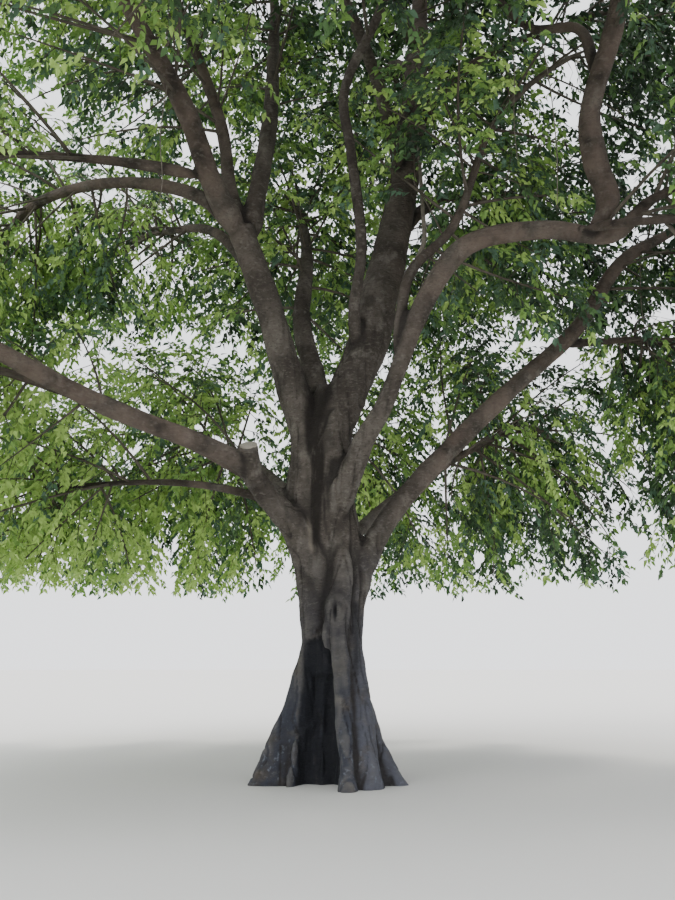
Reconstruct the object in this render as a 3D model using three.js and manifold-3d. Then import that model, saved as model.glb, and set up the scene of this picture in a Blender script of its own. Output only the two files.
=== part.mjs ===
// A mature weeping fig, whole, rooted in level ground.
// Millimetres, +Z up. The origin is the middle of the flat cut under the trunk, at ground level.
// +X is to the right and -Y is towards the side that the tree is seen from.
// The trunk and every bough are solid wood. Each mass of foliage is one solid: a stem, the twigs that
// branch from it and the blades that hang on them, each blade as large as a spray of real leaves.

import * as THREE from 'three';
import { mergeVertices } from 'three/addons/utils/BufferGeometryUtils.js';
import Module from 'manifold-3d';

const wasm = await Module();
wasm.setup();

// The whole tree
const TREE_HEIGHT = 16000;
const CROWN_RADIUS = 9000;
const CROWN_WIDEST_HEIGHT = 5500;
const SKIRT_HEIGHT = 2600;
const CROWN_LOBES = [{ count: 3, turn: 1 }, { count: 5, turn: 2 }];
const LOBE_DEPTH = 0.05;
const CROWN_FULLNESS = 0.42;

// The open space under the crown: a dome round the trunk, and on the front side a skirt that is lifted in
// a wedge, which rises towards the trunk from a point in front of the tree
const HOLLOW_RADIUS = 5000;
const HOLLOW_HEIGHT = 8600;
const WEDGE_POINT = new THREE.Vector3(160, -12300, 1550);
const WEDGE_SLOPE = 0.72;
const WEDGE_HALF_WIDTH = 0.4;

// Fits and clearances
const JOINT_GAP = 0.3;
const LIMB_CLEARANCE = 30;
const LEAF_CLEARANCE = 60;
const SPACE_MARGIN = 40;

// Facets
const COLUMN_SIDES = 8;
const COLUMN_RING_SPACING = 760;
const THICK_SIDES = 8;
const SLIM_SIDES = 5;
const SLIM_WIDTH = 300;
const LIMB_RING_SPACING = 850;
const TWIG_SIDES = 3;
const SMALLEST_DETAIL = 3;
const WELD_DISTANCE = 0.001;

// One mass of foliage: its stem, its twigs in three ranks and their blades in two
const MASS_REACH = 1700;
const STEM_LENGTHS = [2400, 1900, 1500, 1250, 1000];
const STEM_STATIONS = 4;
const STEM_SPREAD = 0.8;
const STEM_TAPER = 0.75;
const STEM_BARE_SHARE = 0.12;
const WEEPING_HEIGHT = 8500;
const WEEPING_DROOP = 0.8;
const UPPER_DROOP = 0.35;
const TWIG_TRIES = 90;
const TWIG_LENGTHS = [2300, 1800, 1300, 900];
const TWIG_STATIONS = 3;
const TWIG_SHARE_OF_STEM = 0.5;
const TWIG_TAPER = 0.75;
const TWIG_DROOP = 0.45;
const TWIG_FORWARD = [0.3, 0.9];
const RANK_ANGLES = [Math.PI / 3, -Math.PI / 3, Math.PI];
const LEAVES_PER_MASS = 15;
const LEAST_LEAVES_ON_TWIG = 2;
const LEAF_PLACES = [0.3, 0.53, 0.76, 0.97];
const LEAF_LENGTH = 1500;
const LEAF_WIDTH = 860;
const LEAF_THICKNESS = 40;
const LEAF_SHOULDER = 0.42;
const LEAF_PROFILE = [0, LEAF_SHOULDER, 1];
const LEAF_SINK = 5;
const LEAF_FORWARD = [0.42, 0.98];
const END_LEAF_FORWARD = 2;

// How a shoot or blade is tested before it grows: shares of its length at which it has to be clear
const SUNK_SHARE = 0.25;
const BALL_SHARE = 0.1;
const BLADE_TEST_PLACES = [0.2, 0.42, 0.7, 1];

const GOLDEN_SHARE = (Math.sqrt(5) - 1) / 2;
const FIRST_SEED = 101;
const SEED_STEP = 17;
const SEED_FACTOR = 48271;
const SEED_MODULUS = 2147483647;
const NEARLY_UPRIGHT = 0.95;
const UP = new THREE.Vector3(0, 0, 1);

// Wood: each path is a few points [x, y, z, width] that a smooth curve runs through

const TRUNK_COLUMNS = {
  core: [[0, 280, -200, 1560], [20, 130, 900, 840], [60, 40, 1700, 700], [0, 40, 3000, 800],
    [-40, 40, 4500, 760]],
  left_buttress: [[-700, -380, -200, 720], [-520, -320, 300, 560], [-290, -220, 900, 500],
    [-70, -110, 1700, 480], [-100, -60, 2600, 570], [-260, 0, 3900, 600]],
  right_buttress: [[780, -280, -200, 740], [560, -260, 300, 580], [340, -190, 900, 500],
    [200, -110, 1700, 540], [280, -30, 2600, 560], [110, 0, 3900, 520]],
  front_root: [[290, -1120, -150, 250], [270, -860, 300, 240], [230, -530, 1000, 270],
    [150, -330, 1900, 330], [220, -290, 3000, 440]],
  front_right_root: [[720, -840, -200, 420], [480, -560, 500, 340], [300, -330, 1400, 360]],
  front_left_root: [[-660, -860, -200, 460], [-430, -560, 500, 330], [-160, -250, 1400, 340]],
  back_left_root: [[-740, 760, -200, 560], [-420, 460, 600, 420], [-120, 150, 1600, 400]],
  back_root: [[60, 1080, -200, 540], [50, 640, 600, 420], [40, 200, 1700, 420]],
  back_right_root: [[860, 640, -200, 560], [460, 400, 600, 420], [160, 150, 1600, 400]],
};

const LIMBS = {
  left_low_bough: { from: 'trunk', path: [[-60, -60, 2350, 500], [-380, -250, 3150, 380],
    [-750, -350, 3560, 310], [-1000, -520, 3900, 270], [-1200, -720, 4030, 245],
    [-2700, -1600, 4500, 240], [-4300, -3100, 5100, 190], [-5300, -3900, 5250, 150]] },
  right_low_bough: { from: 'trunk', path: [[280, -30, 2350, 440], [620, 0, 2980, 320],
    [900, 180, 3430, 280], [1180, 300, 3780, 280], [1960, 600, 4620, 280],
    [2820, 1000, 5490, 260], [3820, 1200, 6430, 240], [4680, 1400, 7650, 210],
    [5640, 1600, 8290, 150]] },
  right_low_side_limb: { from: 'right_low_bough', path: [[3500, 1120, 6150, 140],
    [4280, 1500, 6350, 120], [5210, 1900, 6500, 105], [5900, 2300, 6400, 90]] },

  left_main_stem: { from: 'trunk', path: [[-220, 0, 3600, 560], [-270, 0, 4420, 400],
    [-420, 0, 4980, 440], [-600, -20, 5600, 420], [-790, -100, 6260, 390],
    [-1210, -300, 7400, 360]] },
  left_front_riser: { from: 'left_main_stem', path: [[-1120, -260, 7150, 330],
    [-1530, -600, 7820, 310], [-1860, -1300, 8610, 280], [-2460, -2100, 9500, 190],
    [-3000, -2700, 10300, 140]] },
  left_top_riser: { from: 'left_main_stem', path: [[-1160, -280, 7200, 240],
    [-1400, -60, 8170, 200], [-1560, 120, 9200, 190], [-2370, 500, 11620, 150]] },
  left_back_riser: { from: 'left_main_stem', path: [[-1120, -260, 7100, 300],
    [-960, 200, 8580, 270], [-890, 600, 9650, 250], [-900, 1400, 12200, 170]] },
  left_side_limb: { from: 'left_main_stem', path: [[-1120, -260, 7150, 230],
    [-1710, -300, 7830, 200], [-3230, 300, 8420, 175], [-4790, 1300, 8500, 155],
    [-5400, 2000, 8200, 135]] },

  back_stem: { from: 'trunk', path: [[40, 150, 4200, 420], [-120, 340, 5210, 330],
    [-370, 800, 6400, 280], [-330, 1500, 7700, 210], [-500, 3000, 9300, 150]] },

  centre_main_stem: { from: 'trunk', path: [[130, 0, 3700, 640], [100, 0, 4420, 500],
    [260, 20, 4980, 540], [540, 110, 5700, 580], [700, 200, 6350, 590],
    [1070, 600, 7970, 480], [1350, 1000, 9900, 440], [1500, 1350, 11400, 360],
    [1600, 1600, 12900, 220]] },
  centre_slender_limb: { from: 'centre_main_stem', path: [[480, 80, 5450, 220],
    [390, -220, 6200, 170], [490, -450, 7000, 155], [340, -850, 8300, 145],
    [250, -1100, 9000, 140], [750, -1700, 9900, 130], [1200, -3600, 10800, 110]] },

  right_main_bough: { from: 'trunk', path: [[100, -240, 3200, 400], [250, -290, 3700, 340],
    [510, -400, 4320, 280], [750, -500, 4710, 240], [960, -600, 5230, 220],
    [1320, -800, 6130, 280], [1850, -1050, 6790, 270], [2830, -1300, 6890, 240],
    [3620, -1500, 6720, 220], [4150, -1500, 7200, 130], [4800, -1500, 7500, 110]] },
  right_riser: { from: 'right_main_bough', path: [[3350, -1430, 6800, 220],
    [3590, -1520, 7150, 270], [3430, -1650, 7640, 320], [3330, -1850, 8180, 270],
    [3570, -2200, 9070, 250], [3800, -2800, 10300, 170]] },
  right_riser_side_limb: { from: 'right_riser', path: [[3400, -1980, 8550, 160],
    [3280, -1850, 9400, 135], [2770, -1300, 9850, 120], [2150, -900, 11000, 100]] },
  right_small_limb: { from: 'right_main_bough', path: [[960, -600, 5200, 170],
    [1010, -660, 6000, 160], [1150, -620, 6600, 150], [1770, -400, 7380, 130],
    [2250, -300, 8700, 110]] },
};

// Boughs in three rings, which fill the crown where the others leave it open. Each is an arch from its foot
// on its parent to a tip at an azimuth in degrees, counted from +X towards +Y, a radius and a height.
const LOW = { radius: 5600, height: 5700, rise: 900, width: 260 };
const MIDDLE = { radius: 5100, height: 9300, rise: 700, width: 210 };
const HIGH = { radius: 4000, height: 12000, rise: 500, width: 190 };
const ARCHED_BOUGHS = {
  back_left_low_bough: { from: 'trunk', foot: [-60, 100, 3300], azimuth: 152,
    ...LOW, height: 4200, rise: 350, width: 140 },
  left_side_low_bough: { from: 'trunk', foot: [-80, 60, 3300], azimuth: 184,
    ...LOW, rise: 300, width: 200 },
  back_low_bough: { from: 'trunk', foot: [-20, 120, 3100], azimuth: 119, ...LOW, rise: 300, width: 200 },
  back_middle_low_bough: { from: 'trunk', foot: [40, 120, 2900], azimuth: 86, ...LOW },
  back_right_low_bough: { from: 'trunk', foot: [100, 120, 2850], azimuth: 52,
    ...LOW, rise: 200, width: 190 },
  right_front_bough: { from: 'right_main_bough', foot: [3200, -1400, 6820], azimuth: 321,
    radius: 6200, height: 5700, rise: 100, width: 130 },
  left_middle_bough: { from: 'left_front_riser', foot: [-1600, -700, 7950], azimuth: 197,
    ...MIDDLE, height: 7900, rise: 100, width: 170 },
  back_left_middle_bough: { from: 'left_main_stem', foot: [-780, -100, 6260], azimuth: 131, ...MIDDLE },
  back_middle_bough: { from: 'centre_main_stem', foot: [780, 320, 6700], azimuth: 78, ...MIDDLE },
  back_right_middle_bough: { from: 'centre_main_stem', foot: [960, 500, 7500], azimuth: 42, ...MIDDLE },
  front_left_bough: { from: 'centre_main_stem', foot: [1180, 750, 8700], azimuth: 254,
    radius: 5600, height: 8900, rise: 1500, width: 190 },
  right_high_bough: { from: 'centre_main_stem', foot: [1300, 930, 9600], azimuth: 10,
    ...HIGH, radius: 4300, height: 11600 },
  back_high_bough: { from: 'centre_main_stem', foot: [1420, 1150, 10500], azimuth: 76,
    ...HIGH, radius: 3300 },
  top_bough: { from: 'centre_main_stem', foot: [1480, 1300, 11200], azimuth: 250,
    ...HIGH, radius: 1300, height: 13700 },
};

// Where an arch turns, as shares of the way to its tip and of its rise, and how it tapers there
const ARCH_TOP_SHARE = 0.45;
const ARCH_SHOULDER_SHARE = 0.45;
const ARCH_SHOULDER_RISE = 1 / 3;
const ARCH_TAPER = [1, 0.92, 0.75, 0.5];

for (const [name, { from, foot, azimuth, radius, height, rise, width }] of Object.entries(ARCHED_BOUGHS)) {
  const angle = THREE.MathUtils.degToRad(azimuth);
  const start = new THREE.Vector3(...foot);
  const tip = new THREE.Vector3(radius * Math.cos(angle), radius * Math.sin(angle), height);
  const top = start.clone().lerp(tip, ARCH_TOP_SHARE).addScaledVector(UP, rise);
  const shoulder = start.clone().lerp(top, ARCH_SHOULDER_SHARE)
    .addScaledVector(UP, rise * ARCH_SHOULDER_RISE);
  const path = [start, shoulder, top, tip].map((point, i) => [...point, width * ARCH_TAPER[i]]);
  LIMBS[name] = { from, path };
}

// A station is one ring of a limb: its middle, the limb's direction there and its radius

function stationsAlong(path, spacing) {
  const curve = new THREE.CatmullRomCurve3(path.map(([x, y, z]) => new THREE.Vector3(x, y, z)));
  const spans = path.length - 1;
  const count = Math.round(curve.getLength() / spacing) + 1;
  const stations = [];
  for (let i = 0; i <= count; i += 1) {
    const share = curve.getUtoTmapping(i / count);
    const span = Math.min(Math.floor(share * spans), spans - 1);
    const width = THREE.MathUtils.lerp(path[span][3], path[span + 1][3], share * spans - span);
    stations.push({ point: curve.getPoint(share), direction: curve.getTangent(share), radius: width / 2 });
  }
  return stations;
}

// Two directions across a limb at each station, carried along it without twist, the second as near to
// straight down as it can be

function framesAlong(stations) {
  const upright = Math.abs(stations[0].direction.z) > NEARLY_UPRIGHT;
  let below = upright ? new THREE.Vector3(0, -1, 0) : UP.clone().negate();
  return stations.map(({ direction }) => {
    below = below.clone().addScaledVector(direction, -below.dot(direction)).normalize();
    return { across: direction.clone().cross(below), below };
  });
}

// A tapering tube: a closed cylinder whose rings are carried to the stations

function taperedTube(stations, sides) {
  const rings = stations.length - 1;
  const geometry = new THREE.CylinderGeometry(1, 1, rings, sides, rings);
  const frames = framesAlong(stations);
  const position = geometry.attributes.position;
  const unit = new THREE.Vector3();
  for (let i = 0; i < position.count; i += 1) {
    unit.fromBufferAttribute(position, i);
    const ring = Math.round(unit.y + rings / 2);
    const { point, radius } = stations[ring];
    const moved = point.clone()
      .addScaledVector(frames[ring].across, unit.x * radius)
      .addScaledVector(frames[ring].below, unit.z * radius);
    position.setXYZ(i, ...moved);
  }
  return geometry;
}

function toSolid(geometry) {
  geometry.deleteAttribute('normal');
  geometry.deleteAttribute('uv');
  const merged = mergeVertices(geometry, WELD_DISTANCE);
  return new wasm.Manifold(new wasm.Mesh({
    numProp: 3,
    vertProperties: new Float32Array(merged.attributes.position.array),
    triVerts: new Uint32Array(merged.index.array),
  }));
}

// Fused solids keep only the outer surface of their largest body, so no hollow or scrap is left inside

function toGeometry(solid) {
  const bodies = solid.simplify(SMALLEST_DETAIL).decompose();
  const largest = bodies.reduce((a, b) => (b.volume() > a.volume() ? b : a));
  const mesh = largest.getMesh();
  const geometry = new THREE.BufferGeometry();
  geometry.setAttribute('position', new THREE.BufferAttribute(new Float32Array(mesh.vertProperties), 3));
  geometry.setIndex(new THREE.BufferAttribute(new Uint32Array(mesh.triVerts), 1));
  geometry.computeVertexNormals();
  return geometry;
}

function distanceToSegment(point, start, end) {
  const along = end.clone().sub(start);
  const share = THREE.MathUtils.clamp(point.clone().sub(start).dot(along) / along.lengthSq(), 0, 1);
  return { distance: point.distanceTo(start.clone().addScaledVector(along, share)), share };
}

// Clear distance from a ball to the surface of a limb that runs through the stations

function gapToStations(point, radius, stations) {
  let gap = Infinity;
  for (let i = 1; i < stations.length; i += 1) {
    const { distance, share } = distanceToSegment(point, stations[i - 1].point, stations[i].point);
    const limbRadius = THREE.MathUtils.lerp(stations[i - 1].radius, stations[i].radius, share);
    gap = Math.min(gap, distance - limbRadius - radius);
  }
  return gap;
}

// Each limb's foot, up to where it stands clear of its parent and its fellows, is the parent's collar.
// The limb itself starts on the collar's flat end.

const columns = Object.fromEntries(
  Object.entries(TRUNK_COLUMNS).map(([name, path]) => [name, stationsAlong(path, COLUMN_RING_SPACING)]),
);
const limbs = Object.fromEntries(
  Object.entries(LIMBS).map(([name, { from, path }]) => {
    return [name, { name, from, whole: stationsAlong(path, LIMB_RING_SPACING) }];
  }),
);

for (const limb of Object.values(limbs)) {
  const fellows = Object.values(limbs).filter((other) => other !== limb && other.from === limb.from);
  const neighbours = fellows.map((other) => other.whole);
  if (limb.from === 'trunk') neighbours.push(...Object.values(columns));
  else neighbours.push(limbs[limb.from].whole);
  let split = 1;
  limb.whole.forEach(({ point, radius }, i) => {
    const gaps = neighbours.map((stations) => gapToStations(point, radius, stations));
    if (Math.min(...gaps) < LIMB_CLEARANCE) split = i + 1;
  });
  limb.collar = limb.whole.slice(0, split + 1);
  const first = limb.whole[split];
  const seat = { ...first, point: first.point.clone().addScaledVector(first.direction, JOINT_GAP) };
  limb.free = [seat, ...limb.whole.slice(split + 1)];
}

function sidesFor(stations) {
  return stations[0].radius * 2 < SLIM_WIDTH ? SLIM_SIDES : THICK_SIDES;
}

// A collar is fused to its parent, or where its foot lies on the parent's own collar, to what carries that

function carrierOf({ from, whole }) {
  if (from === 'trunk') return from;
  const parent = limbs[from];
  const foot = whole[0].point;
  const onFreePart = gapToStations(foot, 0, parent.free) < gapToStations(foot, 0, parent.collar);
  return onFreePart ? from : carrierOf(parent);
}

function collarsOn(carrier) {
  return Object.values(limbs)
    .filter((limb) => carrierOf(limb) === carrier)
    .map(({ collar, whole }) => toSolid(taperedTube(collar, sidesFor(whole))));
}

function trunkGeometry() {
  const solids = Object.values(columns).map((stations) => toSolid(taperedTube(stations, COLUMN_SIDES)));
  const ground = new THREE.BoxGeometry(2 * CROWN_RADIUS, 2 * CROWN_RADIUS, TREE_HEIGHT);
  ground.translate(0, 0, -TREE_HEIGHT / 2);
  return toGeometry(wasm.Manifold.union([...solids, ...collarsOn('trunk')]).subtract(toSolid(ground)));
}

function limbGeometry(limb) {
  const tube = toSolid(taperedTube(limb.free, sidesFor(limb.whole)));
  return toGeometry(wasm.Manifold.union([tube, ...collarsOn(limb.name)]));
}

// The crown's outline, and what every twig and blade has to stay in

function crownRadius(height, azimuth) {
  const above = Math.max(height - CROWN_WIDEST_HEIGHT, 0) / (TREE_HEIGHT - CROWN_WIDEST_HEIGHT);
  const lobes = CROWN_LOBES.reduce((sum, { count, turn }) => sum + Math.sin(count * azimuth + turn), 0);
  return CROWN_RADIUS * (1 + LOBE_DEPTH * lobes) * Math.max(1 - above * above, 0) ** CROWN_FULLNESS;
}

function lowestFoliage(x, y) {
  const ahead = y - WEDGE_POINT.y;
  const inFront = ahead > 0 && y < 0 && Math.abs(x - WEDGE_POINT.x) < WEDGE_HALF_WIDTH * ahead;
  return inFront ? Math.max(SKIRT_HEIGHT, WEDGE_POINT.z + WEDGE_SLOPE * ahead) : SKIRT_HEIGHT;
}

function insideCrown({ x, y, z }) {
  const out = Math.hypot(x, y);
  if (out > crownRadius(z, Math.atan2(y, x)) || z > TREE_HEIGHT || z < lowestFoliage(x, y)) return false;
  return Math.hypot(out / HOLLOW_RADIUS, z / HOLLOW_HEIGHT) > 1;
}

// Each mass grows from a bough's tip, and its space is all that lies nearer to its own middle than to
// any other mass's. One stem forks into others and ends there, so it has no mass of its own.

const FORKED_LIMB = 'left_main_stem';
const masses = Object.values(limbs).filter(({ name }) => name !== FORKED_LIMB).map(({ name, free }) => {
  const tip = free.at(-1);
  const outward = new THREE.Vector3(tip.point.x, tip.point.y, 0).normalize();
  const heading = tip.direction.clone().add(outward).normalize();
  const middle = tip.point.clone().addScaledVector(heading, MASS_REACH);
  return { name: `${name}_foliage`, tip, outward, middle };
});

function insideSpace(point, mass) {
  const own = point.distanceToSquared(mass.middle);
  return masses.every((other) => {
    if (other === mass) return true;
    const apart = 2 * other.middle.distanceTo(mass.middle);
    return (point.distanceToSquared(other.middle) - own) / apart > SPACE_MARGIN;
  });
}

function clearOfLimbs(point, radius) {
  return Object.values(limbs).every(({ whole }) => gapToStations(point, radius, whole) > LEAF_CLEARANCE);
}

function fitsSpace(balls, mass) {
  return balls.every(({ point, radius }) => insideSpace(point, mass) && clearOfLimbs(point, radius));
}

function mayGrow(balls, mass) {
  return balls.every(({ point }) => insideCrown(point)) && fitsSpace(balls, mass);
}

// Park and Miller's seeded sequence of numbers from 0 to 1

function seededNumbers(seed) {
  let state = seed;
  return () => {
    state = (state * SEED_FACTOR) % SEED_MODULUS;
    return state / SEED_MODULUS;
  };
}

// A bending shoot: it starts in its own direction and bends a little more at each station

function shootStations(root, direction, length, rootRadius, endRadius, bend, count) {
  const stations = [];
  const heading = direction.clone().normalize();
  const point = root.clone();
  for (let i = 0; i < count; i += 1) {
    const share = i / (count - 1);
    stations.push({
      point: point.clone(),
      direction: heading.clone(),
      radius: THREE.MathUtils.lerp(rootRadius, endRadius, share),
    });
    heading.addScaledVector(bend, 1 / (count - 1)).normalize();
    point.addScaledVector(heading, length / (count - 1));
  }
  return stations;
}

// Balls along a shoot, past the part that is sunk in its parent

function ballsAlong(stations) {
  const balls = [];
  for (let share = SUNK_SHARE; share <= 1; share += BALL_SHARE) balls.push(pointOn(stations, share));
  return balls;
}

// The point straight beyond a shoot's end that a blade there will reach

function beyondTip(stations, reach) {
  const { point, direction } = stations.at(-1);
  return { point: point.clone().addScaledVector(direction, reach), radius: 0 };
}

// The place at a share of a shoot's length, and the way that a side shoot of one of its ranks leaves it.
// The ranks are the middles of the shoot's three faces: one to each side below, and one above.

function pointOn(stations, share) {
  const place = share * (stations.length - 1);
  const i = Math.min(Math.floor(place), stations.length - 2);
  return {
    point: stations[i].point.clone().lerp(stations[i + 1].point, place - i),
    direction: stations[i + 1].point.clone().sub(stations[i].point).normalize(),
    radius: THREE.MathUtils.lerp(stations[i].radius, stations[i + 1].radius, place - i),
    frame: framesAlong(stations)[i],
  };
}

function rankHeading({ direction, frame }, rank, forward) {
  const angle = RANK_ANGLES[rank % RANK_ANGLES.length];
  return direction.clone().multiplyScalar(forward)
    .addScaledVector(frame.across, Math.sin(angle))
    .addScaledVector(frame.below, Math.cos(angle))
    .normalize();
}

// One blade: an octahedron pulled out to a leaf, its root sunk in the twig and its width along the twig

function bladeGeometry(root, direction, twigDirection) {
  const face = direction.clone().cross(twigDirection).normalize();
  const across = direction.clone().cross(face);
  const geometry = new THREE.OctahedronGeometry(1);
  const position = geometry.attributes.position;
  for (let i = 0; i < position.count; i += 1) {
    const along = LEAF_PROFILE[Math.round(position.getY(i)) + 1];
    const moved = root.clone()
      .addScaledVector(direction, along * LEAF_LENGTH - LEAF_SINK)
      .addScaledVector(across, position.getX(i) * LEAF_WIDTH / 2)
      .addScaledVector(face, position.getZ(i) * LEAF_THICKNESS / 2);
    position.setXYZ(i, ...moved);
  }
  return geometry;
}

function bladeBalls(root, direction) {
  return BLADE_TEST_PLACES.map((along) => {
    const taper = along < LEAF_SHOULDER ? along / LEAF_SHOULDER : (1 - along) / (1 - LEAF_SHOULDER);
    return {
      point: root.clone().addScaledVector(direction, along * LEAF_LENGTH),
      radius: taper * LEAF_WIDTH / 2,
    };
  });
}

function crosses(solid, other) {
  return !solid.intersect(other).isEmpty();
}

function stemOf(mass) {
  const { point, direction, radius } = mass.tip;
  const start = point.clone().addScaledVector(direction, JOINT_GAP);
  const droop = mass.middle.z < WEEPING_HEIGHT ? WEEPING_DROOP : UPPER_DROOP;
  const bend = mass.outward.clone().multiplyScalar(STEM_SPREAD).addScaledVector(UP, -droop);
  return STEM_LENGTHS
    .map((length) => shootStations(start, direction, length, radius, radius * STEM_TAPER, bend,
      STEM_STATIONS))
    .find((stations) => {
      return insideCrown(beyondTip(stations, LEAF_LENGTH / 2).point) && fitsSpace(ballsAlong(stations), mass);
    });
}

function twigFrom(place, heading, mass) {
  const radius = place.radius * TWIG_SHARE_OF_STEM;
  const droop = UP.clone().multiplyScalar(-TWIG_DROOP);
  return TWIG_LENGTHS
    .map((length) => shootStations(place.point, heading, length, radius, radius * TWIG_TAPER, droop,
      TWIG_STATIONS))
    .find((stations) => mayGrow([...ballsAlong(stations), beyondTip(stations, LEAF_LENGTH)], mass));
}

function bladesOn(twig, mass, placed, random) {
  const blades = [];
  LEAF_PLACES.forEach((place, rank) => {
    const root = pointOn(twig, place);
    const stretch = place === LEAF_PLACES.at(-1) ? END_LEAF_FORWARD : 1;
    const hang = rankHeading(root, rank % 2, stretch * THREE.MathUtils.lerp(...LEAF_FORWARD, random()));
    if (!mayGrow(bladeBalls(root.point, hang), mass)) return;
    const blade = toSolid(bladeGeometry(root.point, hang, root.direction));
    if (![...placed, ...blades].some((solid) => crosses(solid, blade))) blades.push(blade);
  });
  return blades;
}

function massGeometry(mass, seed) {
  const random = seededNumbers(seed);
  const stem = stemOf(mass);
  const stemSolid = toSolid(taperedTube(stem, TWIG_SIDES));
  const shoots = [];
  let leaves = 0;
  for (let i = 0; i < TWIG_TRIES && leaves < LEAVES_PER_MASS; i += 1) {
    const share = THREE.MathUtils.lerp(STEM_BARE_SHARE, 1, ((i + 1) * GOLDEN_SHARE) % 1);
    const place = pointOn(stem, share);
    const heading = rankHeading(place, i, THREE.MathUtils.lerp(...TWIG_FORWARD, random()));
    const twig = twigFrom(place, heading, mass);
    if (!twig) continue;
    const twigSolid = toSolid(taperedTube(twig, TWIG_SIDES));
    if (shoots.some((solid) => crosses(solid, twigSolid))) continue;
    const blades = bladesOn(twig, mass, [stemSolid, ...shoots], random);
    if (blades.length < LEAST_LEAVES_ON_TWIG) continue;
    shoots.push(twigSolid, ...blades);
    leaves += blades.length;
  }
  return toGeometry(wasm.Manifold.union([stemSolid, ...shoots]));
}

const bark = new THREE.MeshStandardMaterial({ color: 0x7a7166, roughness: 0.88, metalness: 0 });
const foliage = new THREE.MeshStandardMaterial({ color: 0x3d5c22, roughness: 0.5, metalness: 0 });

const tree = new THREE.Group();

function addMesh(name, geometry, material) {
  const mesh = new THREE.Mesh(geometry, material);
  mesh.name = name;
  tree.add(mesh);
}

addMesh('trunk', trunkGeometry(), bark);
for (const limb of Object.values(limbs)) addMesh(limb.name, limbGeometry(limb), bark.clone());
masses.forEach((mass, i) => {
  addMesh(mass.name, massGeometry(mass, FIRST_SEED + SEED_STEP * i), foliage.clone());
});

export default tree;
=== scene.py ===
import math

import bmesh
import bpy
import numpy as np
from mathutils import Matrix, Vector, kdtree, noise


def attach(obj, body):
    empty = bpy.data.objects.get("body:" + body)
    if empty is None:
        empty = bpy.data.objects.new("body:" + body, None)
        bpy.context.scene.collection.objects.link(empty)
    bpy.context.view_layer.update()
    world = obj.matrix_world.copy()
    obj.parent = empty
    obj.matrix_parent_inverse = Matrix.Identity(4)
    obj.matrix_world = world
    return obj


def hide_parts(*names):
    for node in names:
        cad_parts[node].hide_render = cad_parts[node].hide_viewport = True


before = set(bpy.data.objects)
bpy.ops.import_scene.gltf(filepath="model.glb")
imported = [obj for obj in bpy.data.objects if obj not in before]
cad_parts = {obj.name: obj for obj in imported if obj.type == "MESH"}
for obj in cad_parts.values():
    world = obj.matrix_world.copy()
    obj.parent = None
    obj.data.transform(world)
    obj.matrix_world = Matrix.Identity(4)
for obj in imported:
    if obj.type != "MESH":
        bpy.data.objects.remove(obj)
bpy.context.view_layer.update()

# Where the tree is seen from: eye height, 12 m in front of the trunk, looking up a little into the crown.
# The floor is plain and pale, under soft light from all round with a low sun behind the crown.
EYE = (0.16, -12.3, 1.55)
LOOKING_UP = 12.5

camera_data = bpy.data.cameras.new("camera")
camera_data.lens = 37.0
camera = bpy.data.objects.new("camera", camera_data)
camera.location = EYE
camera.rotation_euler = (math.radians(90 + LOOKING_UP), 0, 0)
bpy.context.scene.collection.objects.link(camera)
bpy.context.scene.camera = camera


def plain_material(name, colour, roughness):
    material = bpy.data.materials.new(name)
    material.use_nodes = True
    shader = material.node_tree.nodes["Principled BSDF"]
    shader.inputs["Base Color"].default_value = (*colour, 1)
    shader.inputs["Roughness"].default_value = roughness
    return material


def mesh_from(bm, name):
    mesh = bpy.data.meshes.new(name)
    bm.to_mesh(mesh)
    bm.free()
    return mesh


def new_object(name, mesh, material):
    piece = bpy.data.objects.new(name, mesh)
    mesh.materials.append(material)
    bpy.context.scene.collection.objects.link(piece)
    return piece


floor_bm = bmesh.new()
bmesh.ops.create_grid(floor_bm, x_segments=1, y_segments=1, size=90)
floor_mesh = mesh_from(floor_bm, "floor")
new_object("floor", floor_mesh, plain_material("pale_floor", (0.62, 0.61, 0.59), 0.8))

world = bpy.data.worlds.new("soft_sky")
world.use_nodes = True
world.node_tree.nodes["Background"].inputs["Color"].default_value = (0.95, 0.965, 1.0, 1)
world.node_tree.nodes["Background"].inputs["Strength"].default_value = 2.1
bpy.context.scene.world = world


def add_sun(name, strength, spread, elevation, azimuth, colour):
    light = bpy.data.lights.new(name, "SUN")
    light.energy = strength
    light.angle = math.radians(spread)
    light.color = colour
    sun = bpy.data.objects.new(name, light)
    sun.rotation_euler = (math.radians(90 - elevation), 0, math.radians(azimuth))
    bpy.context.scene.collection.objects.link(sun)


add_sun("sun_behind", strength=2.2, spread=12, elevation=55, azimuth=160, colour=(1.0, 0.96, 0.86))
add_sun("fill_in_front", strength=2.3, spread=50, elevation=38, azimuth=-50, colour=(0.97, 0.98, 1.0))

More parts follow.
